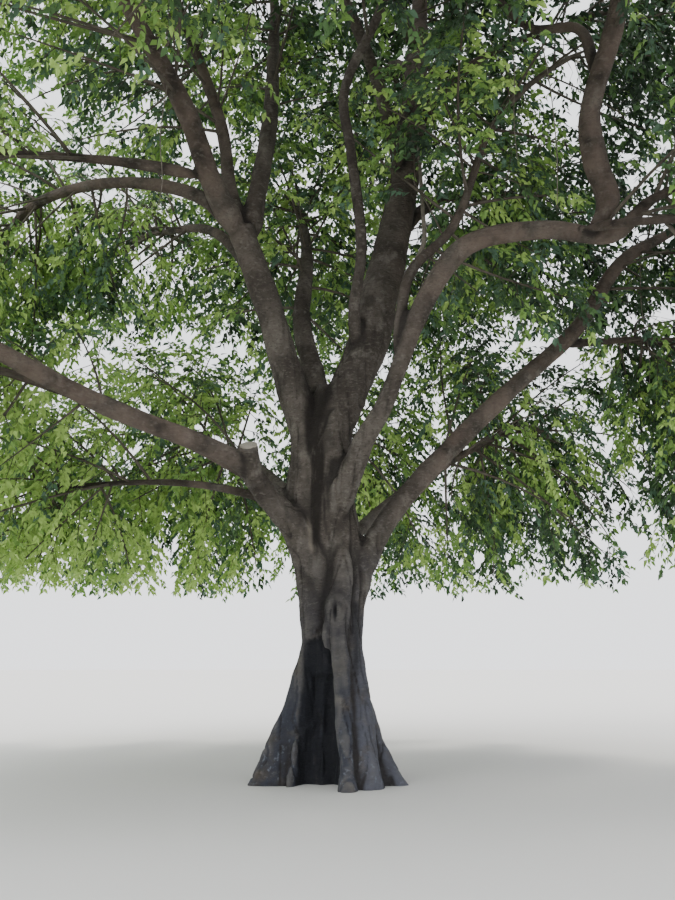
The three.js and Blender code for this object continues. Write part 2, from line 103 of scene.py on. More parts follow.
# Limbs: every stem and bough of living wood, as the points [x, y, z, width] that its middle line runs
# through, in metres, and the limb or trunk that it grows from. These fifteen show from the front.
LIMBS = {
    "left_low_bough": ("trunk", [[-0.06, -0.06, 2.35, 0.5], [-0.38, -0.25, 3.15, 0.38],
        [-0.75, -0.35, 3.56, 0.31], [-1.0, -0.52, 3.9, 0.27], [-1.2, -0.72, 4.03, 0.245],
        [-2.7, -1.6, 4.5, 0.24], [-4.3, -3.1, 5.1, 0.19], [-5.3, -3.9, 5.25, 0.15]]),
    "right_low_bough": ("trunk", [[0.28, -0.03, 2.35, 0.44], [0.62, 0, 2.98, 0.32], [0.9, 0.18, 3.43, 0.28],
        [1.18, 0.3, 3.78, 0.28], [1.96, 0.6, 4.62, 0.28], [2.82, 1.0, 5.49, 0.26], [3.82, 1.2, 6.43, 0.24],
        [4.68, 1.4, 7.65, 0.21], [5.64, 1.6, 8.29, 0.15]]),
    "right_low_side_limb": ("right_low_bough", [[3.5, 1.12, 6.15, 0.14], [4.28, 1.5, 6.35, 0.12],
        [5.21, 1.9, 6.5, 0.105], [5.9, 2.3, 6.4, 0.09]]),
    "left_main_stem": ("trunk", [[-0.22, 0, 3.6, 0.56], [-0.27, 0, 4.42, 0.4], [-0.42, 0, 4.98, 0.44],
        [-0.6, -0.02, 5.6, 0.42], [-0.79, -0.1, 6.26, 0.39], [-1.21, -0.3, 7.4, 0.36]]),
    "left_front_riser": ("left_main_stem", [[-1.12, -0.26, 7.15, 0.33], [-1.53, -0.6, 7.82, 0.31],
        [-1.86, -1.3, 8.61, 0.28], [-2.46, -2.1, 9.5, 0.19], [-3.0, -2.7, 10.3, 0.14]]),
    "left_top_riser": ("left_main_stem", [[-1.16, -0.28, 7.2, 0.24], [-1.4, -0.06, 8.17, 0.2],
        [-1.56, 0.12, 9.2, 0.19], [-2.37, 0.5, 11.62, 0.15]]),
    "left_back_riser": ("left_main_stem", [[-1.12, -0.26, 7.1, 0.3], [-0.96, 0.2, 8.58, 0.27],
        [-0.89, 0.6, 9.65, 0.25], [-0.9, 1.4, 12.2, 0.17]]),
    "left_side_limb": ("left_main_stem", [[-1.12, -0.26, 7.15, 0.23], [-1.71, -0.3, 7.83, 0.2],
        [-3.23, 0.3, 8.42, 0.175], [-4.79, 1.3, 8.5, 0.155], [-5.4, 2.0, 8.2, 0.135]]),
    "back_stem": ("trunk", [[0.04, 0.15, 4.2, 0.42], [-0.12, 0.34, 5.21, 0.33], [-0.37, 0.8, 6.4, 0.28],
        [-0.33, 1.5, 7.7, 0.21], [-0.5, 3.0, 9.3, 0.15]]),
    "centre_main_stem": ("trunk", [[0.13, 0, 3.7, 0.64], [0.1, 0, 4.42, 0.5], [0.26, 0.02, 4.98, 0.54],
        [0.54, 0.11, 5.7, 0.58], [0.7, 0.2, 6.35, 0.59], [1.07, 0.6, 7.97, 0.48], [1.35, 1.0, 9.9, 0.44],
        [1.5, 1.35, 11.4, 0.36], [1.6, 1.6, 12.9, 0.22]]),
    "centre_slender_limb": ("centre_main_stem", [[0.48, 0.08, 5.45, 0.22], [0.39, -0.22, 6.2, 0.17],
        [0.49, -0.45, 7.0, 0.155], [0.34, -0.85, 8.3, 0.145], [0.25, -1.1, 9.0, 0.14],
        [0.75, -1.7, 9.9, 0.13], [1.2, -3.6, 10.8, 0.11]]),
    "right_main_bough": ("trunk", [[0.1, -0.24, 3.2, 0.4], [0.25, -0.29, 3.7, 0.34],
        [0.51, -0.4, 4.32, 0.28], [0.75, -0.5, 4.71, 0.24], [0.96, -0.6, 5.23, 0.22],
        [1.32, -0.8, 6.13, 0.28], [1.85, -1.05, 6.79, 0.27], [2.83, -1.3, 6.89, 0.24],
        [3.62, -1.5, 6.72, 0.22], [4.15, -1.5, 7.2, 0.13], [4.8, -1.5, 7.5, 0.11]]),
    "right_riser": ("right_main_bough", [[3.35, -1.43, 6.8, 0.22], [3.59, -1.52, 7.15, 0.27],
        [3.43, -1.65, 7.64, 0.32], [3.33, -1.85, 8.18, 0.27], [3.57, -2.2, 9.07, 0.25],
        [3.8, -2.8, 10.3, 0.17]]),
    "right_riser_side_limb": ("right_riser", [[3.4, -1.98, 8.55, 0.16], [3.28, -1.85, 9.4, 0.135],
        [2.77, -1.3, 9.85, 0.12], [2.15, -0.9, 11.0, 0.1]]),
    "right_small_limb": ("right_main_bough", [[0.96, -0.6, 5.2, 0.17], [1.01, -0.66, 6.0, 0.16],
        [1.15, -0.62, 6.6, 0.15], [1.77, -0.4, 7.38, 0.13], [2.25, -0.3, 8.7, 0.11]]),
}
# The arches fill the rest of the crown. Each has what it grows from, its foot, the azimuth, radius and
# height of its tip, its rise above the straight line, and its width.
ARCHES = {
    "back_left_low_bough": ("trunk", [-0.06, 0.1, 3.3], 152, 5.6, 4.2, 0.35, 0.14),
    "left_side_low_bough": ("trunk", [-0.08, 0.06, 3.3], 184, 5.6, 5.7, 0.3, 0.2),
    "back_low_bough": ("trunk", [-0.02, 0.12, 3.1], 119, 5.6, 5.7, 0.3, 0.2),
    "back_middle_low_bough": ("trunk", [0.04, 0.12, 2.9], 86, 5.6, 5.7, 0.9, 0.26),
    "back_right_low_bough": ("trunk", [0.1, 0.12, 2.85], 52, 5.6, 5.7, 0.2, 0.19),
    "right_front_bough": ("right_main_bough", [3.2, -1.4, 6.82], 321, 6.2, 5.7, 0.1, 0.13),
    "left_middle_bough": ("left_front_riser", [-1.6, -0.7, 7.95], 197, 5.1, 7.9, 0.1, 0.17),
    "back_left_middle_bough": ("left_main_stem", [-0.78, -0.1, 6.26], 131, 5.1, 9.3, 0.7, 0.21),
    "back_middle_bough": ("centre_main_stem", [0.78, 0.32, 6.7], 78, 5.1, 9.3, 0.7, 0.21),
    "back_right_middle_bough": ("centre_main_stem", [0.96, 0.5, 7.5], 42, 5.1, 9.3, 0.7, 0.21),
    "front_left_bough": ("centre_main_stem", [1.18, 0.75, 8.7], 254, 5.6, 8.9, 1.5, 0.19),
    "right_high_bough": ("centre_main_stem", [1.3, 0.93, 9.6], 10, 4.3, 11.6, 0.5, 0.19),
    "back_high_bough": ("centre_main_stem", [1.42, 1.15, 10.5], 76, 3.3, 12.0, 0.5, 0.19),
    "top_bough": ("centre_main_stem", [1.48, 1.3, 11.2], 250, 1.3, 13.7, 0.5, 0.19),
}
ARCH_TAPER = (1, 0.92, 0.75, 0.5)
ARCH_BEND = 0.45
SHOULDER_PART = 3
for name, (parent, foot, azimuth, radius, height, rise, width) in ARCHES.items():
    angle = math.radians(azimuth)
    start = np.array(foot)
    tip = np.array([radius * math.cos(angle), radius * math.sin(angle), height])
    top = start + ARCH_BEND * (tip - start) + [0, 0, rise]
    shoulder = start + ARCH_BEND * (top - start) + [0, 0, rise / SHOULDER_PART]
    bends = (start, shoulder, top, tip)
    LIMBS[name] = (parent, [[*p, width * taper] for p, taper in zip(bends, ARCH_TAPER)])


def smooth_path(path, spacing):
    """Points, ways along and radii at even spacing on the smooth curve through a path's points."""
    path = np.array(path, float)
    knots = np.vstack([2 * path[0] - path[1], path, 2 * path[-1] - path[-2]])
    points = []
    for i in range(1, len(knots) - 2):
        p0, p1, p2, p3 = knots[i - 1:i + 3, :3]
        t01, t12, t23 = (max(np.linalg.norm(b - a), 1e-6) ** 0.5 for a, b in ((p0, p1), (p1, p2), (p2, p3)))
        m1 = (p2 - p1 + t12 * ((p1 - p0) / t01 - (p2 - p0) / (t01 + t12)))
        m2 = (p2 - p1 + t12 * ((p3 - p2) / t23 - (p3 - p1) / (t12 + t23)))
        for share in np.linspace(0, 1, num=24, endpoint=False):
            curve = (2 * p1 - 2 * p2 + m1 + m2) * share ** 3 + (3 * p2 - 3 * p1 - 2 * m1 - m2) * share ** 2
            width = knots[i, 3] + share * (knots[i + 1, 3] - knots[i, 3])
            points.append([*(curve + m1 * share + p1), width])
    points = np.array([*points, path[-1]])
    steps = np.linalg.norm(np.diff(points[:, :3], axis=0), axis=1)
    along = np.concatenate([[0], np.cumsum(steps)])
    count = max(int(round(along[-1] / spacing)), 2) + 1
    places = np.linspace(0, along[-1], count)
    even = np.stack([np.interp(places, along, points[:, k]) for k in range(4)], axis=1)
    ways = np.gradient(even[:, :3], axis=0)
    ways /= np.linalg.norm(ways, axis=1, keepdims=True)
    return even[:, :3], ways, even[:, 3] / 2


limb_lines = {name: smooth_path(path, spacing=0.12) for name, (parent, path) in LIMBS.items()}

# Trunk and boughs: one body of living wood. Roots flare into buttresses round a deep dark bay in front,
# and stems that have grown together run up from them into the fork. The bark is smooth and grey.
HEIGHTS = (-0.3, 0, 0.25, 0.5, 0.9, 1.25, 1.68, 2.1, 2.5, 2.9)
VALLEY_RADII = (0.72, 0.6, 0.54, 0.49, 0.41, 0.36, 0.34, 0.33, 0.33, 0.2)
RIDGE_HEIGHTS = (0.66, 0.45, 0.36, 0.29, 0.19, 0.11, 0.06, 0.04, 0.03, 0.0)
AXIS_OFFSETS = (0.03, 0.03, 0.02, 0.0, 0.02, 0.035, 0.08, 0.09, 0.09, 0.09)
# Buttresses: azimuth in degrees, height against the tallest, and half width in degrees
BUTTRESSES = ((200, 0.98, 18), (233, 0.4, 5), (341, 1.05, 19), (314, 0.8, 15), (48, 0.9, 17), (92, 0.85, 16),
              (136, 0.9, 17), (169, 0.6, 12))
WANDER, WANDER_RATE = 3, 2.3
WIDENING = 0.25
# The bay: its sides, how softly they turn in, and the folds in its back wall by azimuth, depth and width
BAY_HEIGHTS = (0, 0.65, 1.15, 1.48, 1.73)
BAY_LEFT_SIDES = (-0.42, -0.34, -0.29, -0.25, -0.2)
BAY_RIGHT_SIDES = (0.2, 0.2, 0.17, 0.13, 0.1)
BAY_RIMS = (-0.04, 0.01, -0.02, 0.02)
BAY_TOP, BAY_TOP_RIM = 1.73, 0.05
BAY_RADIUS = 0.2
BAY_FOLDS = ((262, 0.035, 5), (240, 0.025, 4))
FLOOR_SPREAD, FLOOR_HEIGHT = 0.16, 0.7
FOOT_DEPTH = 0.3
RING_HEIGHT = 0.05


def smooth_step(low, high, value):
    share = np.clip((value - low) / (high - low), 0, 1)
    return share * share * (3 - 2 * share)


def in_span(value, span):
    """1 in a span and 0 outside it. The span is where it starts, is full, starts to fade and has ended."""
    return smooth_step(*span[:2], value) * (1 - smooth_step(*span[2:], value))


def in_bay_sides(aside, height, rims):
    """1 between the bay's sides and 0 outside them, with a rim along each side."""
    left = np.interp(height, BAY_HEIGHTS, BAY_LEFT_SIDES)
    right = np.interp(height, BAY_HEIGHTS, BAY_RIGHT_SIDES)
    return in_span(aside, (left + rims[0], left + rims[1], right + rims[2], right + rims[3]))


def trunk_radius(angle, height):
    radius = np.interp(height, HEIGHTS, VALLEY_RADII)
    ridge = np.interp(height, HEIGHTS, RIDGE_HEIGHTS)
    bulge = 0
    for azimuth, share, half_width in BUTTRESSES:
        apart = (angle - azimuth + 180) % 360 - 180
        wander = WANDER * math.sin(WANDER_RATE * height + azimuth)
        spread = half_width * (1 + WIDENING * max(height, 0))
        bulge = max(bulge, share * math.exp(-((apart + wander) / spread) ** 2))
    radius += ridge * bulge
    if height > BAY_TOP + BAY_TOP_RIM or math.sin(math.radians(angle)) > 0:
        return radius
    aside = np.interp(height, HEIGHTS, AXIS_OFFSETS) + radius * math.cos(math.radians(angle))
    inside = in_bay_sides(aside, height, BAY_RIMS)
    inside *= 1 - smooth_step(BAY_TOP - BAY_TOP_RIM, BAY_TOP + BAY_TOP_RIM, height)
    folds = sum(depth * math.exp(-((angle - azimuth) / width) ** 2) for azimuth, depth, width in BAY_FOLDS)
    floor_spread = FLOOR_SPREAD * max(0, 1 - height / FLOOR_HEIGHT)
    return radius + inside * (min(BAY_RADIUS + folds + floor_spread, radius) - radius)


def add_cylinder(bm, sides, rings, place):
    """A closed cylinder cut into rings, each of its points then moved to place(ring, angle)."""
    first_new = len(bm.verts)
    cone = bmesh.ops.create_cone(bm, cap_ends=True, segments=sides, radius1=1, radius2=1, depth=rings)
    risers = {e for v in cone["verts"] for e in v.link_edges if abs(e.verts[0].co.z - e.verts[1].co.z) > 0.5}
    bmesh.ops.subdivide_edges(bm, edges=list(risers), cuts=rings - 1, use_grid_fill=True)
    bm.verts.ensure_lookup_table()
    for v in bm.verts[first_new:]:
        v.co = place(round(v.co.z + rings / 2), math.atan2(v.co.y, v.co.x))


def place_on_foot(ring, angle):
    height = ring * RING_HEIGHT - FOOT_DEPTH
    radius = trunk_radius(math.degrees(angle) % 360, height)
    offset = np.interp(height, HEIGHTS, AXIS_OFFSETS)
    return Vector((offset + radius * math.cos(angle), radius * math.sin(angle), height))


def unit(vectors):
    return vectors / np.maximum(np.linalg.norm(vectors, axis=-1, keepdims=True), 1e-9)


def frames_along(ways):
    """Two ways across a limb at each of its points, carried along it without twist."""
    upright = abs(ways[0][2]) > 0.95
    below = np.array([0.0, -1.0, 0.0]) if upright else np.array([0.0, 0.0, -1.0])
    belows = []
    for direction in ways:
        below = unit(below - below @ direction * direction)
        belows.append(below)
    belows = np.array(belows)
    return np.cross(belows, ways), belows


def add_limb(bm, line):
    points, ways, radii = line
    across, below = frames_along(ways)

    def place(ring, angle):
        arm = across[ring] * math.cos(angle) + below[ring] * math.sin(angle)
        return Vector(points[ring] + radii[ring] * arm)

    add_cylinder(bm, sides=24, rings=len(points) - 1, place=place)


# The stems in the trunk that have grown together, again as the points of their middle lines
COLUMNS = (
    [[0.06, 0.04, 1.3, 0.6], [0.0, 0.04, 3.0, 0.8], [-0.04, 0.04, 4.1, 0.72],
     [-0.02, 0.06, 4.75, 0.46], [0.0, 0.12, 5.2, 0.26]],
    [[-0.1, -0.08, 1.76, 0.4], [-0.1, -0.13, 2.1, 0.46], [-0.13, -0.08, 2.6, 0.54],
     [-0.26, 0, 3.75, 0.56], [-0.26, 0, 4.35, 0.38]],
    [[0.3, -0.11, 1.2, 0.34], [0.27, -0.08, 1.9, 0.44], [0.3, -0.03, 2.6, 0.52],
     [0.11, 0, 3.75, 0.52], [0.1, 0, 4.35, 0.38]],
    [[-0.42, -0.22, 3.25, 0.36], [-0.24, -0.24, 2.9, 0.4], [-0.1, -0.25, 2.6, 0.36],
     [-0.02, -0.27, 2.3, 0.24], [0.0, -0.28, 2.1, 0.12]],
    [[0.62, 0.0, 3.0, 0.32], [0.48, -0.06, 2.7, 0.34], [0.43, -0.08, 2.4, 0.3],
     [0.41, -0.06, 2.15, 0.18]],
    [[0.28, -1.0, -0.2, 0.3], [0.27, -0.9, 0.05, 0.24], [0.26, -0.82, 0.22, 0.17],
     [0.25, -0.72, 0.5, 0.19], [0.235, -0.6, 0.9, 0.21], [0.21, -0.52, 1.3, 0.21],
     [0.18, -0.47, 1.62, 0.22], [0.15, -0.43, 1.86, 0.29], [0.16, -0.4, 2.12, 0.33],
     [0.2, -0.36, 2.42, 0.26], [0.22, -0.24, 2.75, 0.28], [0.2, -0.1, 3.1, 0.2]],
    [[0.04, -0.44, 1.63, 0.1], [0.05, -0.45, 1.74, 0.19], [0.09, -0.43, 1.9, 0.23],
     [0.13, -0.36, 2.15, 0.2]],
    [[0.5, -0.62, -0.2, 0.56], [0.46, -0.58, 0.15, 0.46], [0.42, -0.47, 0.6, 0.42],
     [0.38, -0.38, 1.1, 0.38], [0.33, -0.31, 1.5, 0.34], [0.28, -0.24, 1.9, 0.3],
     [0.27, -0.14, 2.3, 0.26]],
)
STUB = [[-0.9, -0.47, 3.72, 0.28], [-0.95, -0.6, 3.94, 0.25], [-0.97, -0.67, 4.06, 0.24],
        [-0.98, -0.73, 4.17, 0.25]]
# A limb swells where it leaves its parent and narrows inside it
COLLAR_SWELL, COLLAR_PLACE, COLLAR_LENGTH = 0.12, 0.4, 0.3
ROOT_SHARE, ROOT_LENGTH = 0.4, 0.5


def peak(value, middle, width):
    return np.exp(-((value - middle) / width) ** 2)


def fused_wood(lines):
    """One smooth skin over the trunk's foot and all the given lines, as a mesh."""
    wood_bm = bmesh.new()
    add_cylinder(wood_bm, sides=180, rings=64, place=place_on_foot)
    for line in lines:
        add_limb(wood_bm, line)
    body = bpy.data.objects.new("wood", mesh_from(wood_bm, "wood"))
    bpy.context.scene.collection.objects.link(body)
    fuse = body.modifiers.new("fuse", "REMESH")
    fuse.mode = "VOXEL"
    fuse.voxel_size = 0.024
    smoother = body.modifiers.new("smooth", "SMOOTH")
    smoother.factor = 0.5
    smoother.iterations = 5
    fused = bpy.data.meshes.new_from_object(body.evaluated_get(bpy.context.evaluated_depsgraph_get()))
    bpy.data.objects.remove(body)
    return fused


wood_lines = [smooth_path(path, spacing=0.06) for path in (*COLUMNS, STUB)]
for points, ways, radii in limb_lines.values():
    along = np.concatenate([[0], np.cumsum(np.linalg.norm(np.diff(points, axis=0), axis=1))])
    collar = 1 + COLLAR_SWELL * peak(along, COLLAR_PLACE, COLLAR_LENGTH)
    collar *= ROOT_SHARE + (1 - ROOT_SHARE) * smooth_step(0, ROOT_LENGTH, along)
    wood_lines.append((points, ways, radii * collar))

# Relief of the bark: flutes and creases up the trunk that fade out along the boughs, lumps as wide as the
# limb, wrinkles, and the knot over the bay with a slit in it. A pattern is its depth and its scales.
TRUNK_TOP, TRUNK_REACH, TRUNK_SHARE = 4.2, 1.4, 0.3
NEAR_POINTS = 8
THINNEST = 0.04
FLUTE_HEIGHTS = (4.2, 7.5)
FLUTE_RADII = (0.1, 0.25)
FLUTE_WANDER = [(0.12, (1.1, 1.1, 0.9))]
FLUTES = [(0.02, (4.5, 4.5, 0.5)), (0.013, (11, 11, 1.3))]
CREASES = [(1, (6.5, 6.5, 0.55))]
CREASE_DEPTH, CREASE_WIDTH, CREASE_SHIFT = 0.02, 0.07, 7
LUMPS = [(0.09, (1.9, 1.9, 1.9)), (0.035, (6, 6, 6))]
WRINKLES = [(0.0035, (9, 9, 26))]
WRINKLE_RADII = (0.05, 0.2)
FRONT = (0.2, 0.33)
KNOT, KNOT_SIZE, KNOT_HEIGHT = (0.17, 2.1), (0.15, 0.22), 0.03
SLIT, SLIT_SIZE, SLIT_DEPTH = (0.13, 2.09), (0.02, 0.1), 0.06
RING_DEPTH, RING_RATE, RING_REACH = 0.005, 16, 0.9
EVENINGS = 24

all_points = np.vstack([line[0] for line in limb_lines.values()])
all_radii = np.concatenate([line[2] for line in limb_lines.values()])
limb_tree = kdtree.KDTree(len(all_points))
for i, point in enumerate(all_points):
    limb_tree.insert(point, i)
limb_tree.balance()


def noise_at(points, patterns):
    """The sum of patterns of smooth noise at each point, each with its depth and its scale."""
    return sum(depth * np.array([noise.noise(Vector(p)) for p in points * scale])
               for depth, scale in patterns)


def wood_radii(points):
    """The radius of the limb or trunk whose surface lies nearest to each point."""
    radii = np.empty(len(points))
    for i, point in enumerate(points):
        near = [(abs(away - all_radii[k]), k) for _, k, away in limb_tree.find_n(point, NEAR_POINTS)]
        radii[i] = all_radii[min(near)[1]]
    x, y, z = points.T
    in_trunk = np.where(z < TRUNK_TOP, np.clip(TRUNK_REACH - np.hypot(x, y), 0, 1), 0)
    return np.maximum(np.maximum(radii, TRUNK_SHARE * in_trunk), THINNEST)


def away_from(points, middle, size):
    return np.hypot((points[:, 0] - middle[0]) / size[0], (points[:, 2] - middle[1]) / size[1])


def relief_at(points, radii):
    """How far the bark stands out of the plain wood at each point."""
    fluted = (1 - smooth_step(*FLUTE_HEIGHTS, points[:, 2])) * smooth_step(*FLUTE_RADII, radii)
    turned = points + noise_at(points, FLUTE_WANDER)[:, None]
    relief = fluted * noise_at(turned, FLUTES)
    creases = np.abs(noise_at(turned + CREASE_SHIFT, CREASES))
    relief -= fluted * CREASE_DEPTH * peak(creases, 0, CREASE_WIDTH)
    relief += radii * noise_at(points, LUMPS)
    relief += noise_at(turned, WRINKLES) * smooth_step(*WRINKLE_RADII, radii)
    from_knot = away_from(points, KNOT, KNOT_SIZE)
    from_slit = away_from(points, SLIT, SLIT_SIZE)
    rings = np.sin(from_knot * RING_RATE) * np.exp(-(from_knot / RING_REACH) ** 4)
    knot = KNOT_HEIGHT * np.exp(-from_knot ** 4) + RING_DEPTH * rings - SLIT_DEPTH * np.exp(-from_slit ** 2)
    return relief + smooth_step(*FRONT, -points[:, 1]) * knot


def hollows_in(fused, points, normals, radii):
    """How deep each point lies in a hollow of the bark: more than zero in one, less on a ridge."""
    pairs = np.array([edge.vertices[:] for edge in fused.edges])
    both_ways, others = np.concatenate([pairs, pairs[:, ::-1]]).T
    neighbours = np.bincount(both_ways, minlength=len(points))
    evened = points
    for _ in range(EVENINGS):
        sums = [np.bincount(both_ways, evened[others, k], len(points)) for k in range(3)]
        evened = np.stack(sums, 1) / neighbours[:, None]
    dent = np.sum((evened - points) * normals, axis=1)
    return dent - np.median(dent * radii) / radii


# Marks on the bark: painted shade in the deep bay, a dark stain streak down from the fork that widens into
# painted shade in the crotch, painted shade in a groove right of the bay, a damp spot by the knot, painted
# shade in the knot's slit, and a painted highlight along a ridge's edge left of the streak. Spans are those
# of in_span.
MARK_EDGE = [(0.02, (7, 7, 3))]
# Painted shade that darkens the deep bay: its rims, its top, how far in front and how deep into the recess
BAY_SHADE_RIMS = (-0.13, 0.05, -0.01, 0.05)
BAY_SHADE_TOP = (-0.02, 0.06)
SHADE_FRONT = (0.0, 0.1)
BAY_SHADE_DEPTH, BAY_SHADE_MARGIN = (0.0, 0.05), 0.06
BAY_AXIS = 0.03
# The streak is a dark stain that widens at its top into painted shade in the crotch of the fork
STREAK_PLACE = -0.11
STREAK_HEIGHTS = (2.7, 3.0, 3.6, 4.3, 4.9, 5.3)
STREAK_WIDTHS = (0.0, 0.05, 0.065, 0.09, 0.15, 0.27)
STREAK_SWAYS = [(0.06, (3, 3, 1.8)), (0.05, (9, 9, 2.5))]
SWING, SWING_RATE = 0.02, 3.1
SWAY_WIDTH, NARROWEST = 0.5, 0.01
STREAK_EDGE = (0.7, 1.6)
STREAK_FRONT = (-0.2, 0.1)
STREAK_SPAN = (2.6, 3.0, 4.9, 5.6)
# Spots: a damp spot by the knot, and painted shade in the knot's slit
SPOTS = ((0.55, (0, 2.3), (0.12, 0.3)), (1, SLIT, SLIT_SIZE))
# Painted shade in a groove right of the bay
STRIP, STRIP_PLACE, STRIP_WIDTH = 0.8, 0.4, 0.05
STRIP_SPAN = (1.2, 1.5, 2.15, 2.3)
# A painted highlight along a ridge's edge left of the streak: its line by height, width, span and breaks
HIGHLIGHT_HEIGHTS = (2.8, 2.95, 3.5, 4.1, 4.9)
HIGHLIGHT_PLACES = (-0.15, -0.19, -0.24, -0.3, -0.33)
HIGHLIGHT_WANDER, HIGHLIGHT_WIDTH = 0.3, 0.03
HIGHLIGHT_SPAN = (2.8, 2.9, 4.6, 4.9)
HIGHLIGHT_BREAKS = [(1, (4, 4, 3.4))]
HIGHLIGHT_BREAK_EDGE = (-0.2, 0.4)
FAR_FROM_KNOT = 9


def marks_at(points):
    """Stain and painted shade, and the painted ridge highlight, at each point, and how far it lies from the
    knot.
    """
    x, y, z = points.T
    edge = noise_at(points, MARK_EDGE)
    in_front = smooth_step(*FRONT, -y)
    outer = np.interp(z, HEIGHTS, VALLEY_RADII)
    # Painted shade in the deep bay
    bay_shade = in_bay_sides(x + edge, z, BAY_SHADE_RIMS)
    bay_shade *= 1 - smooth_step(BAY_TOP + BAY_SHADE_TOP[0], BAY_TOP + BAY_SHADE_TOP[1], z + edge)
    bay_shade *= smooth_step(*SHADE_FRONT, -y)
    bay_shade *= smooth_step(*BAY_SHADE_DEPTH, outer + BAY_SHADE_MARGIN - np.hypot(x - BAY_AXIS, y))
    # The dark stain streak, widening into painted shade in the crotch
    sway = SWING * np.sin(SWING_RATE * z) + noise_at(points, STREAK_SWAYS)
    half_width = np.interp(z, STREAK_HEIGHTS, STREAK_WIDTHS) + SWAY_WIDTH * sway
    half_width = np.maximum(half_width, NARROWEST)
    in_streak = 1 - smooth_step(*STREAK_EDGE, np.abs(x - STREAK_PLACE + sway) / half_width)
    in_streak *= smooth_step(*STREAK_FRONT, -y) * in_span(z, STREAK_SPAN)
    # Painted shade in the groove right of the bay
    groove_shade = STRIP * peak(x, STRIP_PLACE, STRIP_WIDTH) * in_span(z, STRIP_SPAN)
    groove_shade *= smooth_step(*SHADE_FRONT, -y)
    # A damp spot by the knot, and painted shade in the knot's slit
    spots = sum(strength * peak(away_from(points, middle, size), 0, 1) for strength, middle, size in SPOTS)
    stain_and_shade = np.clip(bay_shade + in_streak + groove_shade + spots * in_front, 0, 1)
    # The painted highlight along the ridge's edge left of the streak
    highlight_line = np.interp(z, HIGHLIGHT_HEIGHTS, HIGHLIGHT_PLACES) + HIGHLIGHT_WANDER * edge
    ridge_highlight = peak(x, highlight_line, HIGHLIGHT_WIDTH) * in_front * in_span(z, HIGHLIGHT_SPAN)
    ridge_highlight *= smooth_step(*HIGHLIGHT_BREAK_EDGE, noise_at(points, HIGHLIGHT_BREAKS))
    return stain_and_shade, ridge_highlight, np.where(in_front > 0, away_from(points, KNOT, KNOT_SIZE), FAR_FROM_KNOT)


def read_from(mesh, name):
    values = np.empty(len(mesh.vertices) * 3, np.float32)
    mesh.vertices.foreach_get(name, values)
    return values.reshape(-1, 3)


wood = fused_wood(wood_lines)
plain_points = read_from(wood, "co").astype(float)
normals = read_from(wood, "normal")
radii = wood_radii(plain_points)
carved = plain_points + normals * relief_at(plain_points, radii)[:, None]
wood.vertices.foreach_set("co", carved.astype(np.float32).ravel())
# How deep each point lies in a hollow, for the bark's painted shade in hollows and painted light on ridges
hollow = hollows_in(wood, carved, normals, radii)
for name, values in zip(("stain_and_shade", "ridge_highlight", "knot", "hollow"), (*marks_at(plain_points), hollow)):
    wood.attributes.new(name, "FLOAT", "POINT").data.foreach_set("value", values.astype(np.float32))


class NodeTree:
    """Short words for building a material's nodes."""

    def __init__(self, name):
        self.material = bpy.data.materials.new(name)
        self.material.use_nodes = True
        self.tree = self.material.node_tree
        self.shader = self.tree.nodes["Principled BSDF"]
        self.place = self.add("TexCoord").outputs["Object"]

    def add(self, kind, settings=None, **inputs):
        node = self.tree.nodes.new("ShaderNode" + kind)
        for key, value in (settings or {}).items():
            setattr(node, key, value)
        for key, value in inputs.items():
            self.put(node, key.replace("_", " "), value)
        return node

    def put(self, node, key, value):
        socket = node.inputs[int(key)] if key.isdigit() else node.inputs[key]
        if isinstance(value, bpy.types.NodeSocket):
            self.tree.links.new(value, socket)
        else:
            socket.default_value = value

    def mark(self, name):
        return self.add("Attribute", {"attribute_name": name}).outputs["Fac"]

    def pattern(self, scale, stretch=(1, 1, 1), detail=4, roughness=0.55):
        mapping = self.add("Mapping", Vector=self.place, Scale=stretch)
        return self.add("TexNoise", Vector=mapping.outputs[0], Scale=scale, Detail=detail,
                        Roughness=roughness).outputs["Fac"]

    def ramp(self, value, start, full, most=1.0, least=0.0):
        return self.add("MapRange", {"clamp": True}, Value=value, From_Min=start, From_Max=full,
                        To_Min=least, To_Max=most).outputs[0]

    def patches(self, scale, start, full, most=1.0, stretch=(1, 1, 1), detail=4):
        """Where a soft pattern is high: 0 up to start, and most from full on."""
        return self.ramp(self.pattern(scale, stretch, detail), start, full, most)

    def mix(self, factor, below, above):
        node = self.add("Mix", {"data_type": "RGBA"})
        for key, value in (("0", factor), ("6", below), ("7", above)):
            self.put(node, key, (*value, 1) if isinstance(value, tuple) else value)
        return node.outputs[2]

    def maths(self, operation, first, second=0.0):
        node = self.add("Math", {"operation": operation})
        self.put(node, "0", first)
        self.put(node, "1", second)
        return node.outputs[0]

    def times(self, first, second):
        return self.maths("MULTIPLY", first, second)


# The bark's colours, from the first coat outwards. Each mottle has its colour, the scale of its pattern,
# where that starts and is full, its strength, its stretch along the axes and its detail.
DULL_BARK, FRESH_BARK = (0.042, 0.034, 0.028), (0.118, 0.102, 0.086)
PALE_MOTTLE = (0.19, 0.175, 0.15)
MOTTLES = (
    ((0.028, 0.024, 0.02), 9, 0.55, 0.75, 0.7, (1, 1, 0.12), 4),
    (PALE_MOTTLE, 5.5, 0.56, 0.7, 0.6, (1, 1, 0.6), 6),
    (PALE_MOTTLE, 14, 0.54, 0.68, 0.45, (1, 1, 2.2), 5),
    ((0.026, 0.022, 0.018), 24, 0.53, 0.66, 0.5, (1, 1, 1.6), 5),
    ((0.03, 0.024, 0.02), 3.6, 0.56, 0.68, 0.6, (1, 1, 0.8), 6),
)
WARM_BARK = (0.17, 0.125, 0.1)
